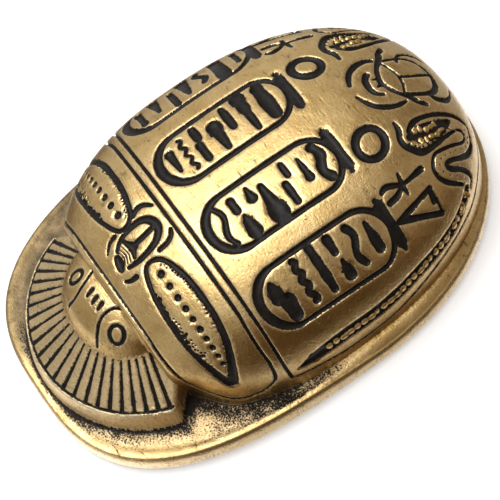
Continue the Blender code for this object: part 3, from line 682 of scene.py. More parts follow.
def frames():
    out = []
    for inner, outer in FRAMES:
        out.append(Stroke(body, *frame_loop(inner, outer), closed=True))
        bar = curve([(inner + t * (outer - inner), TIE_AT) for t in (0.02, 0.2, 0.5, 0.75, 0.92)])
        widths = TIE_WIDTH * np.interp(np.linspace(0, 1, len(bar)), (0, 0.2, 0.8, 1), (0.3, 1, 1, 0.3))
        out.append(Stroke(body, spots(bar), widths))
    return on_both_sides(out)


def sign(kind, start, end, v, width):
    """One plain stroke across a frame."""
    share = np.linspace(0, 1, LINE_POINTS)
    swings = {WAVE: WAVE_HEIGHT * np.sin(share * WAVE_TURNS * 2 * np.pi),
              SWING: SWING_HEIGHT * np.sin(share * 2 * np.pi)}
    swell = {DROP: 0.5 + 0.8 * share, WAVE: 0.85}.get(kind, 1)
    line = spots(columns(start + share * (end - start), v + swings.get(kind, 0 * share)))
    return Stroke(body, line, SIGN_WIDTH * width * swell, uneven=0.22)


def sign_rows():
    out = []
    for side, both in zip(SIDES, (NEAR_ROWS, FAR_ROWS)):
        for (inner, outer), rows in zip(FRAMES, both):
            for along, start, end, width, kind in rows:
                v = FRAME_FRONT + along / 100 * (FRAME_REAR - FRAME_FRONT)
                ends = [side * (inner + t / 100 * (outer - inner)) for t in (start, end)]
                out.append(sign(kind, *ends, v, width))
    return out


# The two rings: place across and along, and half lengths along and across their turned axes.
RINGS = ((0.326, 0.266, 0.00205, 0.00245), (-0.336, 0.264, 0.00225, 0.00172))
RING_TURN = np.radians(54)


def sun_rings():
    turned = [(np.cos(RING_TURN), np.sin(RING_TURN)), (-np.sin(RING_TURN), np.cos(RING_TURN))]
    out = []
    for across, along, *halves in RINGS:
        around = ring(1, RING_POINTS) * halves @ np.array(turned) / [BODY_HALF_WIDTH, LENGTH]
        out.append(Stroke(body, spots(around + [across, along]), RING_WIDTH, closed=True))
    return out


# Crosses and triangles beside the rings: places on the body in thousandths of its half width and of
# the whole length, and widths in tenths of a millimetre. The later tables are the same.
CROSSES = (
    ((618, 267, 4), (600, 292, 5.5), (581, 316, 8.5)),
    ((615, 269, 5), (591, 247, 7), (588, 235, 7), (604, 226, 5)),
    ((622, 266, 5), (654, 248, 7.5), (668, 229, 7.5)),
    ((552, 273, 3.5), (610, 269, 6), (668, 268, 3.5)),
    ((683, 310, 6.5), (766, 226, 8.5)),
    ((766, 226, 8.5), (795, 307, 8)),
    ((683, 310, 4), (795, 307, 4)),
    ((705, 304, 4), (745, 303, 8)),
)

# A leaf's front and rear edges.
LEAF_FRONT = ((150, -200, 5.5), (300, -218, 5.5), (470, -224, 5), (640, -222, 6), (770, -209, 9))
LEAF_REAR = ((850, -190, 12), (790, -166, 9.5), (660, -152, 8), (500, -149, 7.5), (320, -153, 7),
    (170, -170, 6))


def leaves():
    out = [cut([*LEAF_FRONT, *LEAF_REAR], closed=True)]
    out += ragged(LEAF_FRONT[1:], 0.00042, 0.0001, 0.0007, 0.00052)
    out += ragged(LEAF_FRONT[2:], 0.00050, 0.0005, 0.0008, 0.00036)
    out += ragged(LEAF_REAR, 0.00052, 0.0003, 0.0004, 0.00040)
    number = np.arange(DOTS)
    across = FIRST_DOT_AT + DOT_STEP * number - DOT_CROWDING * number**2
    middles = spots([(u, DOTS_ALONG_AT) for u in across])
    return on_both_sides(out + dots(middles, DOT_WIDTH * np.linspace(1, DOT_TAPER, DOTS)))


# The small beetle on the shield, and the fine lines across its head.
SMALL_BEETLE = (
    ((-61, -226, 4.5), (-95, -212, 5.5), (-112, -192, 7), (-112, -165, 8.5), (-92, -150, 9.5),
     (-50, -140.5, 10.5), (0, -139, 10), (40, -147, 9), (68, -161, 8), (82, -182, 7.5), (83, -205, 7),
     (70, -225, 5)),
    ((-18, -150, 6.5), (-13, -172, 6.5), (-13, -188, 8), (-12, -198, 12)),
    ((-90, -206, 4), (-58, -203, 6), (-14, -198, 10), (15, -201, 7), (50, -206, 4)),
    ((-30, -233, 9), (7, -235, 12), (40, -238, 9)),
    ((-147, -214, 6.5), (-138, -228, 5), (-95, -243, 2.5)),
    ((115, -245, 4), (137, -236, 6), (146, -224, 7.5)),
    ((-163, -164, 6), (-182, -152, 7), (-177, -138, 6), (-134, -124, 3.5)),
    ((66, -123, 4.5), (98, -129, 5.5), (120, -143, 6), (122, -161, 6.5)),
)
HATCH_SHIFTS = (0.008, 0.014, 0.019)


def hatching():
    out = []
    for shift in HATCH_SHIFTS:
        line = [(-0.07 + shift, -0.206 - shift), (0.0, -0.203 - shift), (0.06 - shift, -0.209 - shift)]
        out.append(Stroke(body, spots(curve(line)), HAIR_WIDTH, HAIR_DEPTH, uneven=0.5, shoulder=EDGE))
    return out


# The small beetle at the tail.
TAIL_BEETLE = (
    ((192, 396, 4), (150, 383.5, 6), (110, 372.5, 5), (70, 365.5, 6), (35, 362, 5), (0, 359, 7),
     (-35, 362, 5), (-70, 365.5, 6), (-110, 372.5, 5.5), (-150, 383.5, 8), (-192, 396, 5)),
    ((-130, 385, 3), (-70, 392, 3), (0, 396.5, 3.5), (70, 392, 3), (134, 382, 3)),
    ((-145, 392, 3.5), (-132, 425, 3.5), (-95, 444, 4), (-40, 453, 4.5), (25, 455.5, 6), (100, 451, 8.5),
     (153, 440, 9), (170, 428, 7), (162, 408, 6), (137, 384, 5)),
    ((3, 397, 4), (22, 420, 4), (26, 452, 4)),
    ((-88, 346, 8.5), (-58, 337, 8), (0, 333, 7.5), (52, 336, 6), (83, 348, 4)),
    ((-30, 361, 4), (-42, 350, 3)),
    ((20, 361, 4), (18, 349, 3)),
    ((24, 302, 3.5), (86, 310, 6), (141, 322, 7), (176, 342, 7.5), (186, 361, 6), (179, 376, 4)),
    ((-68, 306, 5), (-116, 313, 7), (-159, 325, 7.5), (-185, 344, 8), (-188, 361, 7), (-172, 374, 6)),
    ((165, 384, 3), (208, 393, 6), (237, 405, 7.5)),
    ((-165, 384, 3), (-208, 393, 6), (-237, 405, 7.5)),
    ((188, 425, 5), (219, 431, 7.5), (230, 447, 7.5), (190, 462, 4), (136, 470, 2.5)),
    ((-112, 415, 4), (-159, 425, 4), (-162, 441, 4), (-141, 457, 4), (-100, 464, 3)),
)

# A snake: its back, belly, chest, the line down its hood, and the dots along its middle.
SNAKE_BACK = ((364, 340, 6), (325, 357, 7), (313, 375, 6.5), (313, 396, 6), (322, 417, 6), (338, 436, 6),
    (363, 448, 5), (390, 452, 3.5), (435, 447, 5), (485, 439, 8), (523, 429, 9), (556, 416, 8),
    (576, 397, 7), (584, 378, 6), (600, 365, 6), (624, 368, 7), (628, 387, 7), (636, 398, 6), (652, 399, 5),
    (682, 390, 5))
SNAKE_BELLY = ((424, 425, 3), (432, 434, 4), (465, 432, 4), (495, 421, 4), (512, 395, 4), (524, 372, 4),
    (534, 357, 4), (568, 345, 4.5), (617, 336, 5), (666, 340, 6), (687, 355, 6.5), (690, 375, 5))
SNAKE_CHEST = ((280, 327, 4), (330, 326, 7), (385, 317, 7), (430, 317, 8), (465, 324, 8.5), (500, 337, 9),
    (497, 357, 8), (467, 387, 6), (430, 421, 3.5))
HOOD_LINE = ((400, 335, 9), (405, 350, 19), (405, 370, 24), (402, 388, 22), (390, 404, 15), (372, 422, 6))
SNAKE_MIDDLE = ((400, 441), (440, 441), (475, 435), (510, 424), (533, 407), (548, 385), (562, 364),
    (595, 353), (645, 353), (657, 372), (667, 386))
# The snake's tail along the flank.
TAIL = ((-75, 225, 4), (-50, 250, 16), (-20, 275, 26), (30, 290, 30), (100, 285, 30), (160, 295, 29),
    (210, 310, 27), (265, 305, 25), (315, 300, 24), (350, 320, 20), (378, 360, 14))


def snakes():
    out = cuts((SNAKE_BACK, SNAKE_BELLY, SNAKE_CHEST, HOOD_LINE))
    out += notches(SNAKE_CHEST[3:], 0.0009, 0.0004, 0.0003, 0.0004)
    out += [Stroke(body, [point], 0.00034) for point in unrolled(stations(SNAKE_MIDDLE, 0.00095)[0])]
    tail = curve(columns(flank(TAIL), np.array(TAIL)[:, 2]))
    out.append(Stroke(body, tail[:, :2], tail[:, 2] * TENTH, uneven=0.03))
    return on_both_sides(out)


def body_strokes():
    out = [Stroke(body, loop, LINE_WIDTH, closed=True) for loop in (shield_edge(), wing_edge())]
    out += frames() + sign_rows() + sun_rings() + on_both_sides(cuts(CROSSES)) + leaves()
    return out + cuts(SMALL_BEETLE) + hatching() + cuts(TAIL_BEETLE) + snakes()


# Beads: rings of points on each, its fullness, and how far it reaches. Then, for the hoods' scales
# and the tails' beads, steps, places, the patches in which they vary, and half length, half width
# and rise, each with how much it varies.
BEAD_RINGS = (0.5, 0.85, 1.0)
BEAD_POINTS = 12
BEAD_FULLNESS = 1.4
BEAD_REACH = 1.5
SCALE_STEP = 0.00085
SCALE_PATCH = 0.0006
SCALE_SHIFT = 0.0009
SCALE_ROWS = ((0.00062, 6), (-0.00060, 7))
SCALE_SIZES = ((0.00052, 0.0009), (0.00054, -0.0007), (0.00040, 0.0005))
BEAD_STEP = 0.00120
BEAD_PATCH = 0.0007
BEAD_SHIFT = 0.0005
BEADS_FROM = 0.0056
BEADS_END = 0.0004
BEAD_LOWER = 0.0004
BEAD_SIZES = ((0.00064, 0.0009), (0.00070, -0.0008), (0.00042, 0.0005))


def bead_pair(middle, ahead, sizes, odd):
    """A bead on each side. Odd, from -0.5 to 0.5, makes it differ from the others."""
    sizes = [size + change * odd for size, change in sizes]
    return [Bump(middle * [side, 1], ahead * [side, 1], *sizes) for side in SIDES]


def hood_scales():
    """Raised scales in two rows on the snakes' hoods."""
    out = []
    points, ahead, across = stations(HOOD_LINE, SCALE_STEP, -1)
    for off, seed in SCALE_ROWS:
        shift = noise(body(unrolled(points)), SCALE_PATCH, seed) - 0.5
        middles = points + across * (off + SCALE_SHIFT * shift[::-1])[:, None]
        for middle, turn, odd in list(zip(middles, ahead, shift))[1:-2]:
            out += bead_pair(*unrolled(np.array([middle, middle + turn * 0.2])), SCALE_SIZES, odd)
    return out


def tail_beads():
    """Uneven oval beads along the snakes' tails, each wider than it is long."""
    line = curve(flank(TAIL))
    way = way_along(body(line))
    at = np.arange(BEADS_FROM, way[-1] - BEADS_END, BEAD_STEP)
    odds = noise(columns(at, at, at), BEAD_PATCH, 9) - 0.5
    at = at + BEAD_SHIFT * odds
    out = []
    for middle, ahead, odd in zip(sampled(at, way, line), sampled(at + 0.0002, way, line), odds):
        lower = (BEAD_LOWER + 0.0003 * odd) * middle / np.linalg.norm(middle)
        out += bead_pair(middle + lower, ahead + lower, BEAD_SIZES, odd)
    return out


# The carving on the fan and the head


def head_reach(angle):
    """Distance from the ribs' focus to the head's outline, at an angle from straight ahead."""
    steps = np.arange(0, FAN_RADIUS, FINE_STEP)
    over_head = head_rise(steps * np.sin(angle), RIB_FOCUS_Y - steps * np.cos(angle)) > 0
    return steps[over_head].max(initial=0)


def fan_ribs():
    out = []
    for number in range(-RIBS_EACH_SIDE, RIBS_EACH_SIDE + 1):
        angle = number * RIB_STEP - np.sign(number) * number**2 * RIB_CROWDING
        inner = head_reach(angle) + RIB_WIDTH / 2
        outer = LIP_RADIUS - RIB_WIDTH / 2 - RIB_FOCUS_AHEAD * np.cos(angle)
        line = [(reach * np.sin(angle), RIB_FOCUS_Y - reach * np.cos(angle)) for reach in (inner, outer)]
        widths = [RIB_WIDTH * RIB_TAPER, RIB_WIDTH]
        out.append(Stroke(front, line, widths, RIB_DEPTH, uneven=0.25, shoulder=RIB_SHOULDER))
    return out


def fan_arc(radius, end_margin=0):
    """Points round the fan at a radius, as far as a margin from the line of each end."""
    ahead = (FAN_END_FOCUS_Y - FAN_CENTRE_Y) * FAN_END_COS
    end = np.arccos((end_margin - ahead) / radius) - FAN_END_ANGLE
    turn = np.linspace(-end, end, int(2 * end * radius / STATION))
    return columns(radius * np.sin(turn), FAN_CENTRE_Y - radius * np.cos(turn))


def lip_groove():
    line = fan_arc(LIP_RADIUS - LIP_GROOVE_WIDTH / 4, end_margin=LIP_GROOVE_WIDTH)
    return [Stroke(front, line, LIP_GROOVE_WIDTH, RIB_DEPTH, uneven=0.25)]


# Lines of the head's near and far side, eyes and dashes, in shares of its half width and length.
FACE_LINES = (
    ((0.42, 0.20), (0.345, 0.295), (0.318, 0.418), (0.315, 0.524), (0.343, 0.625), (0.40, 0.717),
     (0.45, 0.797), (0.478, 0.866)),
    ((-0.345, 0.195), (-0.291, 0.381), (-0.248, 0.565), (-0.222, 0.727), (-0.244, 0.866)),
)
EYES = (((0.625, 0.497), (1, 1)), ((-0.483, 0.499), (0.8, 1.05)))
DASHES = ((-0.10, 0.40, 0.53), (0.04, 0.42, 0.527), (0.17, 0.405, 0.51))


def face():
    out = []
    for middle, stretch in EYES:
        eye = ring(EYE_RADIUS, EYE_POINTS) * stretch + head_spots([middle])
        out.append(Stroke(front, eye, EYE_LINE_WIDTH, closed=True))
    out += [Stroke(front, curve(head_spots(line)), LINE_WIDTH) for line in FACE_LINES]
    for across, start, end in DASHES:
        line = head_spots([(across, start), (across + 0.02, end)])
        out.append(Stroke(front, line, [DASH_WIDTH, DASH_WIDTH * 0.7]))
    return out


# The skin


def groove_field(strokes, space):
    """How far inside a groove each point lies, below 0 outside one, and how deep it is there."""
    inside = np.full(len(space), -FADE)
    depth = np.zeros(len(space))
    order = np.argsort(space[:, 1])
    along = space[order, 1]
    for stroke in strokes:
        count = len(stroke.line)
        for i in range(count if stroke.closed or count == 1 else count - 1):
            j = (i + 1) % count
            start, way = stroke.space[i], stroke.space[j] - stroke.space[i]
            reach = max(stroke.half[i], stroke.half[j]) + FADE + np.abs(way).max()
            low, high = np.searchsorted(along, (start[1] - reach, start[1] + reach))
            index = order[low:high]
            index = index[np.abs(space[index, 0] - start[0]) < reach]
            offset = space[index] - start
            place = np.clip(offset @ way / max(way @ way, 1e-14), 0, 1)
            distance = lengths(offset - place[:, None] * way)
            into = stroke.half[i] + (stroke.half[j] - stroke.half[i]) * place - distance
            inside[index] = np.maximum(inside[index], into)
            depth[index] = np.maximum(depth[index], profile(into, stroke.depth, stroke.shoulder))
    return inside, depth


def stroke_points(surface, strokes):
    """The points along every groove, without those that another groove swallows."""
    places, wanted = zip(*(stroke.rows() for stroke in strokes))
    places = np.vstack(places)
    inside, _ = groove_field(strokes, surface(places))
    return places[inside < np.concatenate(wanted) + STATION / 10]


def lattice(spacing):
    """Evenly spaced points over a whole sheet."""
    reach_x = SHEET_SPREAD * WIDTH / 2
    reach_y = SHEET_SPREAD * LENGTH / 2 + BODY_MIDDLE_Y
    rows = []
    for k, y in enumerate(np.arange(-reach_y, reach_y, spacing * np.sqrt(3) / 2)):
        x = np.arange(-reach_x + (k % 2) * spacing / 2, reach_x, spacing)
        rows.append(columns(x, np.full(len(x), y)))
    return np.vstack(rows)


def triangulate(loops, points):
    """Triangles inside the first loop and outside the second, through all the points."""
    everything, edges, loop_faces = [], [], []
    for loop in loops:
        ends = list(range(len(everything), len(everything) + len(loop)))
        everything += loop.tolist()
        edges += list(zip(ends, ends[1:] + ends[:1]))
        loop_faces.append(ends)
    everything += points.tolist()
    sheet, _, triangles, origins, _, owners = delaunay_2d_cdt(
        everything, edges, loop_faces, 0, MERGE_DISTANCE, True)
    kept = [tuple(face) for face, owner in zip(triangles, owners) if list(owner) == [0]]
    place = {origin: i for i, group in enumerate(origins) for origin in group}
    places = [[place[i] for i in loop] for loop in loop_faces]
    return np.array([tuple(point) for point in sheet]), kept, places


def front_form_points():
    """Rows along the fan's lip, its ends and the head's foot."""
    wall = (0, WALL_DRAFT / 2, WALL_DRAFT)
    top = FAN_RADIUS - WALL_DRAFT
    rows = [fan_arc(top + k * LIP_ROUND, k * END_ROUND / 2) for k in (-1, -0.66, -0.4, -0.2, -0.05)]
    rows += [fan_arc(top + past, -past) for past in wall]
    rows.append(fan_arc(LIP_RADIUS + WALL_DRAFT))
    reach = np.arange(1.02 * FAN_RADIUS, 1.35 * FAN_RADIUS, STATION)
    for past in (-END_ROUND, -0.6 * END_ROUND, -0.3 * END_ROUND, -0.05 * END_ROUND, *wall):
        x = reach * FAN_END_COS + past * FAN_END_SIN
        y = FAN_END_FOCUS_Y - reach * FAN_END_SIN + past * FAN_END_COS
        on_fan = np.hypot(x, FAN_CENTRE_Y - y) < FAN_RADIUS
        rows += [columns(side * x, y)[on_fan] for side in SIDES]
    turn = np.linspace(0, 2 * np.pi, HEAD_POINTS, endpoint=False)
    for share in (1.0, 0.985, 0.95):
        outline = oval(turn, share * HEAD_HALF_WIDTH, share * HEAD_HALF_LENGTH, HEAD_FULLNESS)
        rows.append(outline + [0, HEAD_CENTRE_Y])
    return np.vstack(rows)


def foot_loop(drawn_in=True):
    """The body's foot in plan: round the rear, and straight along the front of the shield."""
    power = BODY_OUTLINE_FULLNESS
    right = oval(FULL_TURN, BODY_HALF_WIDTH, body_reach(np.sin(FULL_TURN)), power) + [0, BODY_MIDDLE_Y]
    right = right[(right[:, 1] > SHIELD_FRONT_Y + STATION) & (right[:, 0] > STATION / 2)]
    right = right[np.argsort(right[:, 1])]
    share = abs((SHIELD_FRONT_Y - BODY_MIDDLE_Y) / BODY_FRONT) ** power
    corner_x = BODY_HALF_WIDTH * (1 - share) ** (1 / power)
    right = np.vstack([[(corner_x, SHIELD_FRONT_Y)], right])
    if drawn_in:
        right[:, 0] -= corner_pull(right[:, 1], 0)
    x = np.linspace(-right[0, 0], right[0, 0], 121)[1:-1]
    straight = columns(x, np.full(len(x), SHIELD_FRONT_Y - WALL_DRAFT))
    return np.vstack([right, [(0, BODY_MIDDLE_Y + BODY_REAR)], right[::-1] * [-1, 1], straight])


def strip(above, below):
    """Faces between two loops of as many points, where the loops part."""
    corners = zip(above[1:] + above[:1], above, below, below[1:] + below[:1])
    faces = [tuple(dict.fromkeys(four)) for four in corners]
    return [face for face in faces if len(face) > 2]


def within(points, loop):
    """Which points lie inside a loop."""
    inside = np.zeros(len(points), bool)
    for (ax, ay), (bx, by) in zip(loop, np.roll(loop, -1, 0)):
        crosses = (ay > points[:, 1]) != (by > points[:, 1])
        if ay != by:
            inside ^= crosses & (points[:, 0] < ax + (points[:, 1] - ay) * (bx - ax) / (by - ay))
    return inside


def filled(surface, strokes, spacing, extra, outer, hole=None):
    """The sheet's own points: rows on the grooves, further rows, and the lattice between."""
    grid = lattice(spacing)
    grid = grid[within(grid, outer)]
    inside, _ = groove_field(strokes, surface(grid))
    grid = grid[inside < -SHOULDER - spacing / 4]
    points = np.vstack([stroke_points(surface, strokes), *extra, grid])
    points = points[within(points, outer)]
    return points if hole is None else points[~within(points, hole)]


def lift_of(bumps, space):
    lift = np.zeros(len(space))
    for bump in bumps:
        offset = space - bump.space
        near = np.flatnonzero(np.abs(offset).max(axis=1) < bump.half_long * BEAD_REACH)
        lift[near] = np.maximum(lift[near], bump.lift_at(offset[near]))
    return lift


def foot_distance(space):
    """How far points lie from the line where the body meets the plinth."""
    pulled = np.abs(space[:, 0]) + corner_pull(space[:, 1], 0)
    away = np.abs(foot_share(pulled, space[:, 1] - BODY_MIDDLE_Y) - 1) * BODY_HALF_WIDTH
    return np.hypot(np.minimum(away, 1), np.clip(space[:, 2] - PLINTH_HEIGHT, 0, None))


def foot_darkening(space):
    """1 on the line where the body meets the plinth, fading close beside it and towards the rear."""
    return (0.35 + 0.30 * (1 - rearward(space[:, 1]))) * fade(foot_distance(space), *FOOT_DARKENING_SPAN)


def front_skin():
    rim, foot = plinth_outline(FULL_TURN, PLINTH_RIM_INSET), foot_loop()
    strokes = fan_ribs() + lip_groove() + face()
    points = filled(front, strokes, FRONT_SPACING, [front_form_points()], rim, foot)
    plan, faces, (rim_places, foot_places) = triangulate([rim, foot], points)
    space = front(plan)
    inside, depth = groove_field(strokes, space)
    x, y = plan.T
    on_fan, height = fan_rise(x, y) > 0, space[:, 2] - PLINTH_HEIGHT
    radius, past_end = fan_place(x, y)
    from_fan = np.maximum(radius - FAN_RADIUS, past_end)
    from_foot = foot_distance(columns(plan, np.full(len(plan), PLINTH_HEIGHT)))
    round_head = head_sum(x, y) ** (1 / HEAD_FULLNESS)
    far = far_side(plan)

    # The rough ground on the ledge is densest where the fan and the body shelter it.
    ledge = smooth_step((1 - rim_share(plan)) * WIDTH / 2, *LEDGE_SPAN) * (1 - rearward(y))
    sheltered = np.maximum(fade(from_fan, *SHELTER_BY_FAN), fade(from_foot, *SHELTER_BY_FOOT))
    sheltered = np.minimum(sheltered + 0.6 * smooth_step(y, *SHELTER_ALONG), 1.15)
    recess = ~on_fan * ledge * (0.40 + 0.85 * sheltered) * (1 - 0.35 * far)
    # The far side's grey veil is partly dirt and partly painted shade.
    far_dirt_and_shade = ~on_fan * far * (0.75 + 0.25 * sheltered)
    rough = recess * (noise(space, 0.0011, 1) + 0.7 * noise(space, 0.0005, 2) - 0.85) * GROUND_RISE
    recess = np.maximum(recess, on_fan * 0.5 * smooth_step(inside, *FAN_GROUND_SPAN))
    uneven = on_fan * (inside < -SHOULDER) * (noise(space, 0.0021, 4) - 0.5) * FAN_UNEVEN
    space[:, 2] += rough + uneven - depth

    # Patina fills the grooves, and the dark share also rises beside the fan's end and along the body's foot.
    # Painted shade darkens under the fan's lip, low on the fan's wall and along the head's foot.
    corner = 1.3 * fade(from_fan, *CORNER_BY_FAN) * fade(from_foot, *CORNER_BY_FOOT)
    under_lip_shade = 0.75 * fade(from_fan, *UNDER_LIP_SPAN) * (y < FAN_CENTRE_Y)
    low_wall_shade = on_fan * (from_fan > -FAN_DRAFT) * fade(height, *LOW_WALL_SPAN)
    head_foot_shade = on_fan * 0.32 * fade(np.abs(round_head - 1.01) * HEAD_HALF_WIDTH, *HEAD_FOOT_SPAN)
    beside = ~on_fan * largest(corner, under_lip_shade, foot_darkening(space))
    patina_and_shade = largest(smooth_step(inside, *DIRT_SPAN), beside, low_wall_shade, head_foot_shade)
    worn_lip = on_fan * smooth_step(radius, LIP_RADIUS, LIP_RADIUS + LIP_WEAR_START) * LIP_WEAR
    worn_ribs = on_fan * smooth_step(round_head, *RIB_WEAR_SPAN) * RIB_WEAR
    edge = largest(inside_band(inside), worn_lip, worn_ribs)
    return space, faces, rim_places, foot_places, columns(patina_and_shade, edge, recess, far_dirt_and_shade)


def far_side(plan):
    """1 along the far side of the plinth's front half, under a grey veil of dirt and painted shade."""
    return fade(plan[:, 0], *FAR_SPAN) * (1 - rearward(plan[:, 1]))


def inside_band(inside):
    """1 along the worn edges of the grooves, fading to 0 away from them."""
    return smooth_step(inside, -FADE, -SHOULDER) * fade(inside, 0, WALL / 2)


def body_skin(border):
    strokes = body_strokes()
    bumps = tail_beads() + hood_scales()
    outer = unrolled(border)
    backs = (0.00006, 0.00015, 0.00026, SHIELD_EDGE_ROUND)
    extra = [across_body(0.66, (SHIELD_FRONT_Y + back) / LENGTH, 131) for back in backs]
    extra += [bump.rows() for bump in bumps]
    points = filled(body, strokes, BODY_SPACING, extra, outer)
    sheet, faces, (border_places,) = triangulate([outer], points)
    space = body(sheet)
    inside, depth = groove_field(strokes, space)
    back = np.clip((space[:, 1] - SHIELD_FRONT_Y) / SHIELD_EDGE_ROUND, 0, 1)
    rounding = SHIELD_EDGE_ROUND * (1 - np.sqrt(1 - (1 - back) ** 2))
    rounding = rounding * smooth_step(space[:, 2], PLINTH_HEIGHT, PLINTH_HEIGHT + 0.001)
    lift = lift_of(bumps, space)
    patina_and_shade = smooth_step(inside, *DIRT_SPAN) * fade(lift, *BEAD_CLEAN_SPAN)
    patina_and_shade = np.maximum(patina_and_shade, foot_darkening(space))
    space = space - body_normals(space) * (depth - lift)[:, None]
    space[:, 2] -= rounding
    return space, faces, border_places, columns(patina_and_shade, inside_band(inside), 0 * patina_and_shade, 0 * patina_and_shade)


def skin():
    """The whole carved casting: points, faces, and the shares of the finish at each point."""
    space, faces, rim, foot, front_shares = front_skin()
    border = foot_loop(drawn_in=False)
    on_wall = np.abs(border[:, 1] - SHIELD_FRONT_Y + WALL_DRAFT) < MERGE_DISTANCE
    border[on_wall, 1] = SHIELD_FRONT_Y
    body_space, body_faces, body_border, body_shares = body_skin(border)
    number = {place: below for place, below, wall in zip(body_border, foot, on_wall) if not wall}
    points, shares = space.tolist(), front_shares.tolist()
    for place, (point, share) in enumerate(zip(body_space.tolist(), body_shares.tolist())):
        if place not in number:
            number[place] = len(points)
            points.append(point)
            shares.append(share)
    faces += [tuple(number[place] for place in face) for face in body_faces]
    faces += strip([number[place] for place in body_border], foot)
    above = rim
    rim_heights = np.array([points[place][2] for place in rim]) / PLINTH_HEIGHT
    for inset, height in PLINTH_SIDE:
        below = list(range(len(points), len(points) + OUTLINE_POINTS))
        outline = plinth_outline(FULL_TURN, inset)
        points += [(x, y, height * k) for (x, y), k in zip(outline, rim_heights)]
        # The far side's veil of dirt and painted shade reaches down the plinth's side.
        shares += [(0, 0, SIDE_WEAR, SIDE_VEIL * far) for far in far_side(outline)]
        faces += strip(above, below)
        above = below
    return points, [*faces, tuple(reversed(above))], np.array(shares)


def without_loose(points, faces, shares):
    used = sorted({place for face in faces for place in face})
    number = {place: i for i, place in enumerate(used)}
    faces = [tuple(number[place] for place in face) for face in faces]
    return [points[place] for place in used], faces, shares[used]


# Finish, with painted shade in places

SHADER = "Principled BSDF"
# The shares of the finish: patina in the grooves, with painted shade under the fan's lip, low on its wall
# and at the head's foot; worn edges; rough ground; and a grey veil of dirt and painted shade on the far
# side.
SHARES = ("patina_and_shade", "edge", "recess", "far_dirt_and_shade")
# Scratches: the turn and the size of each set, and how far they are drawn out.
SCRATCHES = ((0.5, 0.0005), (-0.35, 0.0006), (1.25, 0.0005), (-1.1, 0.0007))
SCRATCH_STRETCH = 0.15
DEEP_GOLD = (0.62, 0.415, 0.160, 1)
GOLD = (0.76, 0.54, 0.245, 1)
STAINED_GOLD = (0.44, 0.27, 0.09, 1)
LEDGE_GOLD = (0.80, 0.65, 0.42, 1)
WORN_GOLD = (0.93, 0.77, 0.49, 1)
GRAIN_GOLD = (0.40, 0.25, 0.09, 1)
BLACK = (0.004, 0.003, 0.002, 1)
DARK_BROWN = (0.017, 0.013, 0.010, 1)
BUMP_STRENGTH = 0.7
BUMP_DISTANCE = 0.00006


class Nodes:
    """A material's node tree, built by short calls."""

    def __init__(self, name, material=None):
        self.material = material or bpy.data.materials.new(name)
        self.material.use_nodes = True
        self.tree = self.material.node_tree

    def set(self, node, inputs):
        """Links or sets the inputs of a node, or of the tree's own node with a name."""
        node = self.tree.nodes[node] if isinstance(node, str) else node
        for key, value in inputs.items():
            if isinstance(value, bpy.types.NodeSocket):
                self.tree.links.new(value, node.inputs[key])
            else:
                node.inputs[key].default_value = value
        return self.material

    def add(self, kind, inputs, output=0, **settings):
        node = self.tree.nodes.new(kind)
        for key, value in settings.items():
            setattr(node, key, value)
        self.set(node, inputs)
        return node.outputs[output]

    def math(self, operation, first, *others):
        for value in others:
            first = self.add("ShaderNodeMath", {0: first, 1: value}, operation=operation)
        return first

    def plus(self, *values):
        return self.math("ADD", *values)

    def times(self, *values):
        return self.math("MULTIPLY", *values)

    def most(self, *values):
        return self.math("MAXIMUM", *values)

    def mix(self, share, first, second):
        return self.add("ShaderNodeMix", {0: share, 6: first, 7: second}, 2, data_type="RGBA")

    def span(self, value, low, high, to_low=0.0, to_high=1.0):
        inputs = {"Value": value, "From Min": low, "From Max": high, "To Min": to_low, "To Max": to_high}
        return self.add("ShaderNodeMapRange", inputs, clamp=True)

    def noise(self, place, size, detail, rough):
        """Noise with patches of a size in metres, from 0 to 1."""
        inputs = {"Vector": place, "Scale": 1 / size, "Detail": detail, "Roughness": rough}
        return self.add("ShaderNodeTexNoise", inputs, "Fac")


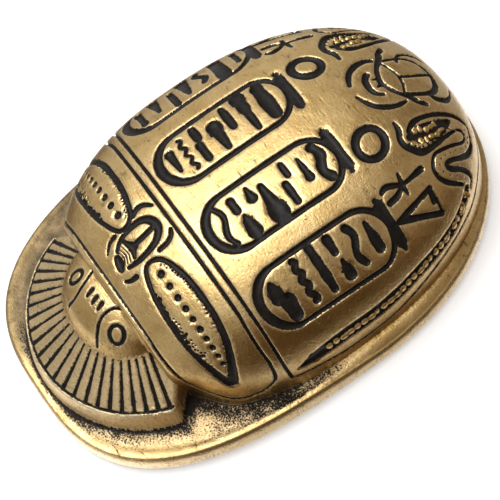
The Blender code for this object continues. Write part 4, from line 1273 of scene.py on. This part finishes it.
def antiqued_brass():
    made = Nodes("antiqued_brass")
    span, plus, times, most = made.span, made.plus, made.times, made.most
    place = made.add("ShaderNodeTexCoord", {}, "Object")
    patina_and_shade, edge, recess, far_dirt_and_shade = [
        made.add("ShaderNodeAttribute", {}, "Fac", attribute_name=name) for name in SHARES]
    grain = made.noise(place, 0.00032, 3.0, 0.65)
    speck = made.noise(place, 0.00026, 3.0, 0.65)
    stain = made.noise(place, 0.0024, 5.0, 0.62)
    cloud = made.noise(place, 0.0060, 3.0, 0.55)
    fleck = made.noise(place, 0.0010, 6.0, 0.80)
    scratches = []
    for turn, size in SCRATCHES:
        inputs = {"Vector": place, "Scale": (SCRATCH_STRETCH, 1, 1), "Rotation": (0, 0, turn)}
        scratches.append(made.noise(made.add("ShaderNodeMapping", inputs), size, 2.0, 0.6))
    scratch = most(*scratches)

    # The film of patina and painted shade: solid in the grooves and in the painted shade under the fan's
    # lip, then specks, pits and scratched lines, and the veil of dirt and painted shade.
    rubbed = times(recess, span(speck, 0.45, 0.68, 0.0, 0.55))
    ragged_patina_and_shade = plus(patina_and_shade, span(grain, 0.3, 0.7, -0.22, 0.22))
    black = span(made.math("SUBTRACT", ragged_patina_and_shade, rubbed), 0.40, 0.54)
    shelter = plus(times(recess, span(stain, 0.38, 0.62, 0.20, 0.31)), span(cloud, 0.4, 0.7, 0.0, 0.03))
    specks = span(plus(speck, shelter), 0.68, 0.80)
    pits = span(plus(fleck, span(cloud, 0.5, 0.7, 0.0, 0.03)), 0.640, 0.69)
    lines = times(span(scratch, 0.63, 0.72), span(stain, 0.46, 0.62, 0.06, 0.80))
    # The far side's veil: dirt and painted shade.
    veil = times(far_dirt_and_shade, span(stain, 0.3, 0.7, 0.68, 0.95))
    patina_and_shade_film = most(specks, pits, lines, black, veil)

    gold = made.mix(span(cloud, 0.35, 0.65), DEEP_GOLD, GOLD)
    for share, colour in (
        (span(stain, 0.46, 0.70, 0.0, 0.55), STAINED_GOLD),
        (times(recess, 0.6), LEDGE_GOLD),
        (times(edge, 0.3), WORN_GOLD),
        (span(grain, 0.42, 0.72, 0.0, 0.45), GRAIN_GOLD),
    ):
        gold = made.mix(share, gold, colour)
    # Near black, for both the patina and the painted shade.
    patina_and_shade_colour = made.mix(span(fleck, 0.35, 0.65), BLACK, DARK_BROWN)
    rough = plus(span(grain, 0.3, 0.7, 0.25, 0.37), times(recess, 0.06), span(edge, 1.0, 2.6, 0.0, 0.18))
    height = plus(
        times(grain, 0.9),
        times(stain, 1.6),
        times(span(scratch, 0.62, 0.76), -0.4),
        times(fleck, span(recess, 0, 1, 0.6, 2.5)),
        times(speck, span(recess, 0, 1, 0.0, 2.5)),
    )
    bump = {"Height": height, "Strength": BUMP_STRENGTH, "Distance": BUMP_DISTANCE}
    return made.set(SHADER, {
        "Base Color": made.mix(patina_and_shade_film, gold, patina_and_shade_colour),
        "Metallic": span(patina_and_shade_film, 0.2, 0.9, 1.0, 0.0),
        "Roughness": most(rough, times(patina_and_shade_film, 0.40)),
        "Specular IOR Level": 0.20,
        "Normal": made.add("ShaderNodeBump", bump),
    })


def placed(name, data):
    """An object in the scene."""
    piece = bpy.data.objects.new(name, data)
    bpy.context.collection.objects.link(piece)
    return piece


def solid(name, points, faces, material):
    mesh = bpy.data.meshes.new(name)
    mesh.from_pydata(points, [], faces)
    mesh.materials.append(material)
    return placed(name, mesh)


def figurine():
    points, faces, shares = without_loose(*skin())
    piece = solid("scarab_casting", points, faces, antiqued_brass())
    for name, values in zip(SHARES, shares.T):
        layer = piece.data.attributes.new(name, "FLOAT", "POINT")
        layer.data.foreach_set("value", np.ascontiguousarray(values, dtype=np.float32))
    piece.data.shade_smooth()
    print("skin:", len(points), "points,", len(faces), "faces")
    return piece


# Floor, light and camera

FLOOR_HALF = 1.5
FLOOR_Z = -0.00005
# The key light: its direction from the part, distance, width and length, and power in watts.
KEY_TOWARDS = (-0.25, -0.16, 0.95)
KEY_DISTANCE = 0.9
KEY_SIZE = 0.5
KEY_POWER = 3.0
ROOM_LIGHT = 0.085
WARM = (1.0, 0.62, 0.28, 1)
WHITE = (1.0, 1.0, 1.0, 1)
# The camera: its lens and sensor in millimetres, its right, up and back, and its place in lengths of
# the part.
LENS = 146.3
SENSOR = 36.0
CAMERA_RIGHT = (0.53832, 0.81730, -0.20556)
CAMERA_UP = (-0.70469, 0.57031, 0.42210)
CAMERA_BACK = (0.46221, -0.08237, 0.88294)
CAMERA_AT = (1.84285, -0.33182, 3.53504)


def floor():
    made = Nodes("pale_floor")
    made.set(SHADER, {
        "Base Color": (0.93, 0.93, 0.93, 1),
        "Roughness": 0.9,
        "Specular IOR Level": 0.0,
        "Emission Color": WHITE,
        "Emission Strength": 0.30,
    })
    corners = [(x * FLOOR_HALF, y * FLOOR_HALF, FLOOR_Z) for x, y in ((-1, -1), (1, -1), (1, 1), (-1, 1))]
    piece = solid("floor", corners, [(0, 1, 2, 3)], made.material)
    piece.visible_glossy = False


def key_light():
    """A soft round light, facing the part."""
    data = bpy.data.lights.new("key", "AREA")
    data.shape = "ELLIPSE"
    data.size = data.size_y = KEY_SIZE
    data.energy = KEY_POWER
    back = np.array(KEY_TOWARDS) / np.linalg.norm(KEY_TOWARDS)
    right = np.cross((0, 1, 0), back)
    right = right / np.linalg.norm(right)
    placed("key", data).matrix_world = matrix(right, np.cross(back, right), back, back * KEY_DISTANCE)


def matrix(*axes_and_place):
    """A placing with the given right, up, back and place."""
    out = Matrix.Identity(4)
    for row, values in enumerate(zip(*axes_and_place)):
        out[row] = values
    return out


def glow(made, towards, start, end, strength):
    """A soft patch of light in the surroundings, round a direction."""
    at = made.add("ShaderNodeTexCoord", {}, "Generated")
    towards = tuple(np.array(towards) / np.linalg.norm(towards))
    near = made.add("ShaderNodeVectorMath", {0: at, 1: towards}, "Value", operation="DOT_PRODUCT")
    inputs = {"Value": near, "From Min": start, "From Max": end}
    return made.times(made.add("ShaderNodeMapRange", inputs, interpolation_type="SMOOTHSTEP"), strength)


# The glows of the surroundings: direction, the cosines where each starts and is full, and strength.
# They are the ceiling, the left, the room ahead, above on the right, ahead on the right, the table
# ahead, the table, low behind, behind, and behind on the left.
GLOWS = (
    ((-0.23, -0.06, 0.97), 0.795, 0.97, 1.60),
    ((-0.90, 0.05, 0.40), 0.50, 1.00, 0.64),
    ((-0.10, -1.00, -0.10), 0.30, 1.00, 0.42),
    ((0.43, -0.25, 0.87), 0.86, 1.00, 0.62),
    ((0.35, -0.75, 0.55), 0.70, 1.00, 0.20),
    ((-0.10, -0.65, -0.75), 0.72, 1.00, 1.30),
    ((0.00, 0.00, -1.00), 0.65, 0.80, 1.00),
    ((-0.45, 0.60, -0.60), 0.50, 0.95, 0.40),
    ((0.45, 0.75, 0.50), 0.50, 1.00, 0.31),
    ((-0.62, 0.75, 0.18), 0.60, 1.00, 0.05),
)


def surroundings():
    """A dim warm room with a bright ceiling and weaker glows round it."""
    made = Nodes("studio", bpy.data.worlds.new("studio"))
    light = made.plus(ROOM_LIGHT, *(glow(made, *values) for values in GLOWS))
    colour = made.mix(made.span(light, 0.08, 0.5), WARM, WHITE)
    made.set("Background", {"Color": colour, "Strength": light})
    return made.material


def lights():
    key_light()
    bpy.context.scene.world = surroundings()
    bpy.context.scene.view_settings.view_transform = "Standard"


def camera():
    data = bpy.data.cameras.new("camera")
    data.lens, data.sensor_width, data.clip_start = LENS, SENSOR, 0.01
    eye = placed("camera", data)
    eye.matrix_world = matrix(CAMERA_RIGHT, CAMERA_UP, CAMERA_BACK, np.array(CAMERA_AT) * LENGTH)
    bpy.context.scene.camera = eye


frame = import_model()
camera()
floor()
lights()
scarab = figurine()
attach(scarab, "root")
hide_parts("scarab")
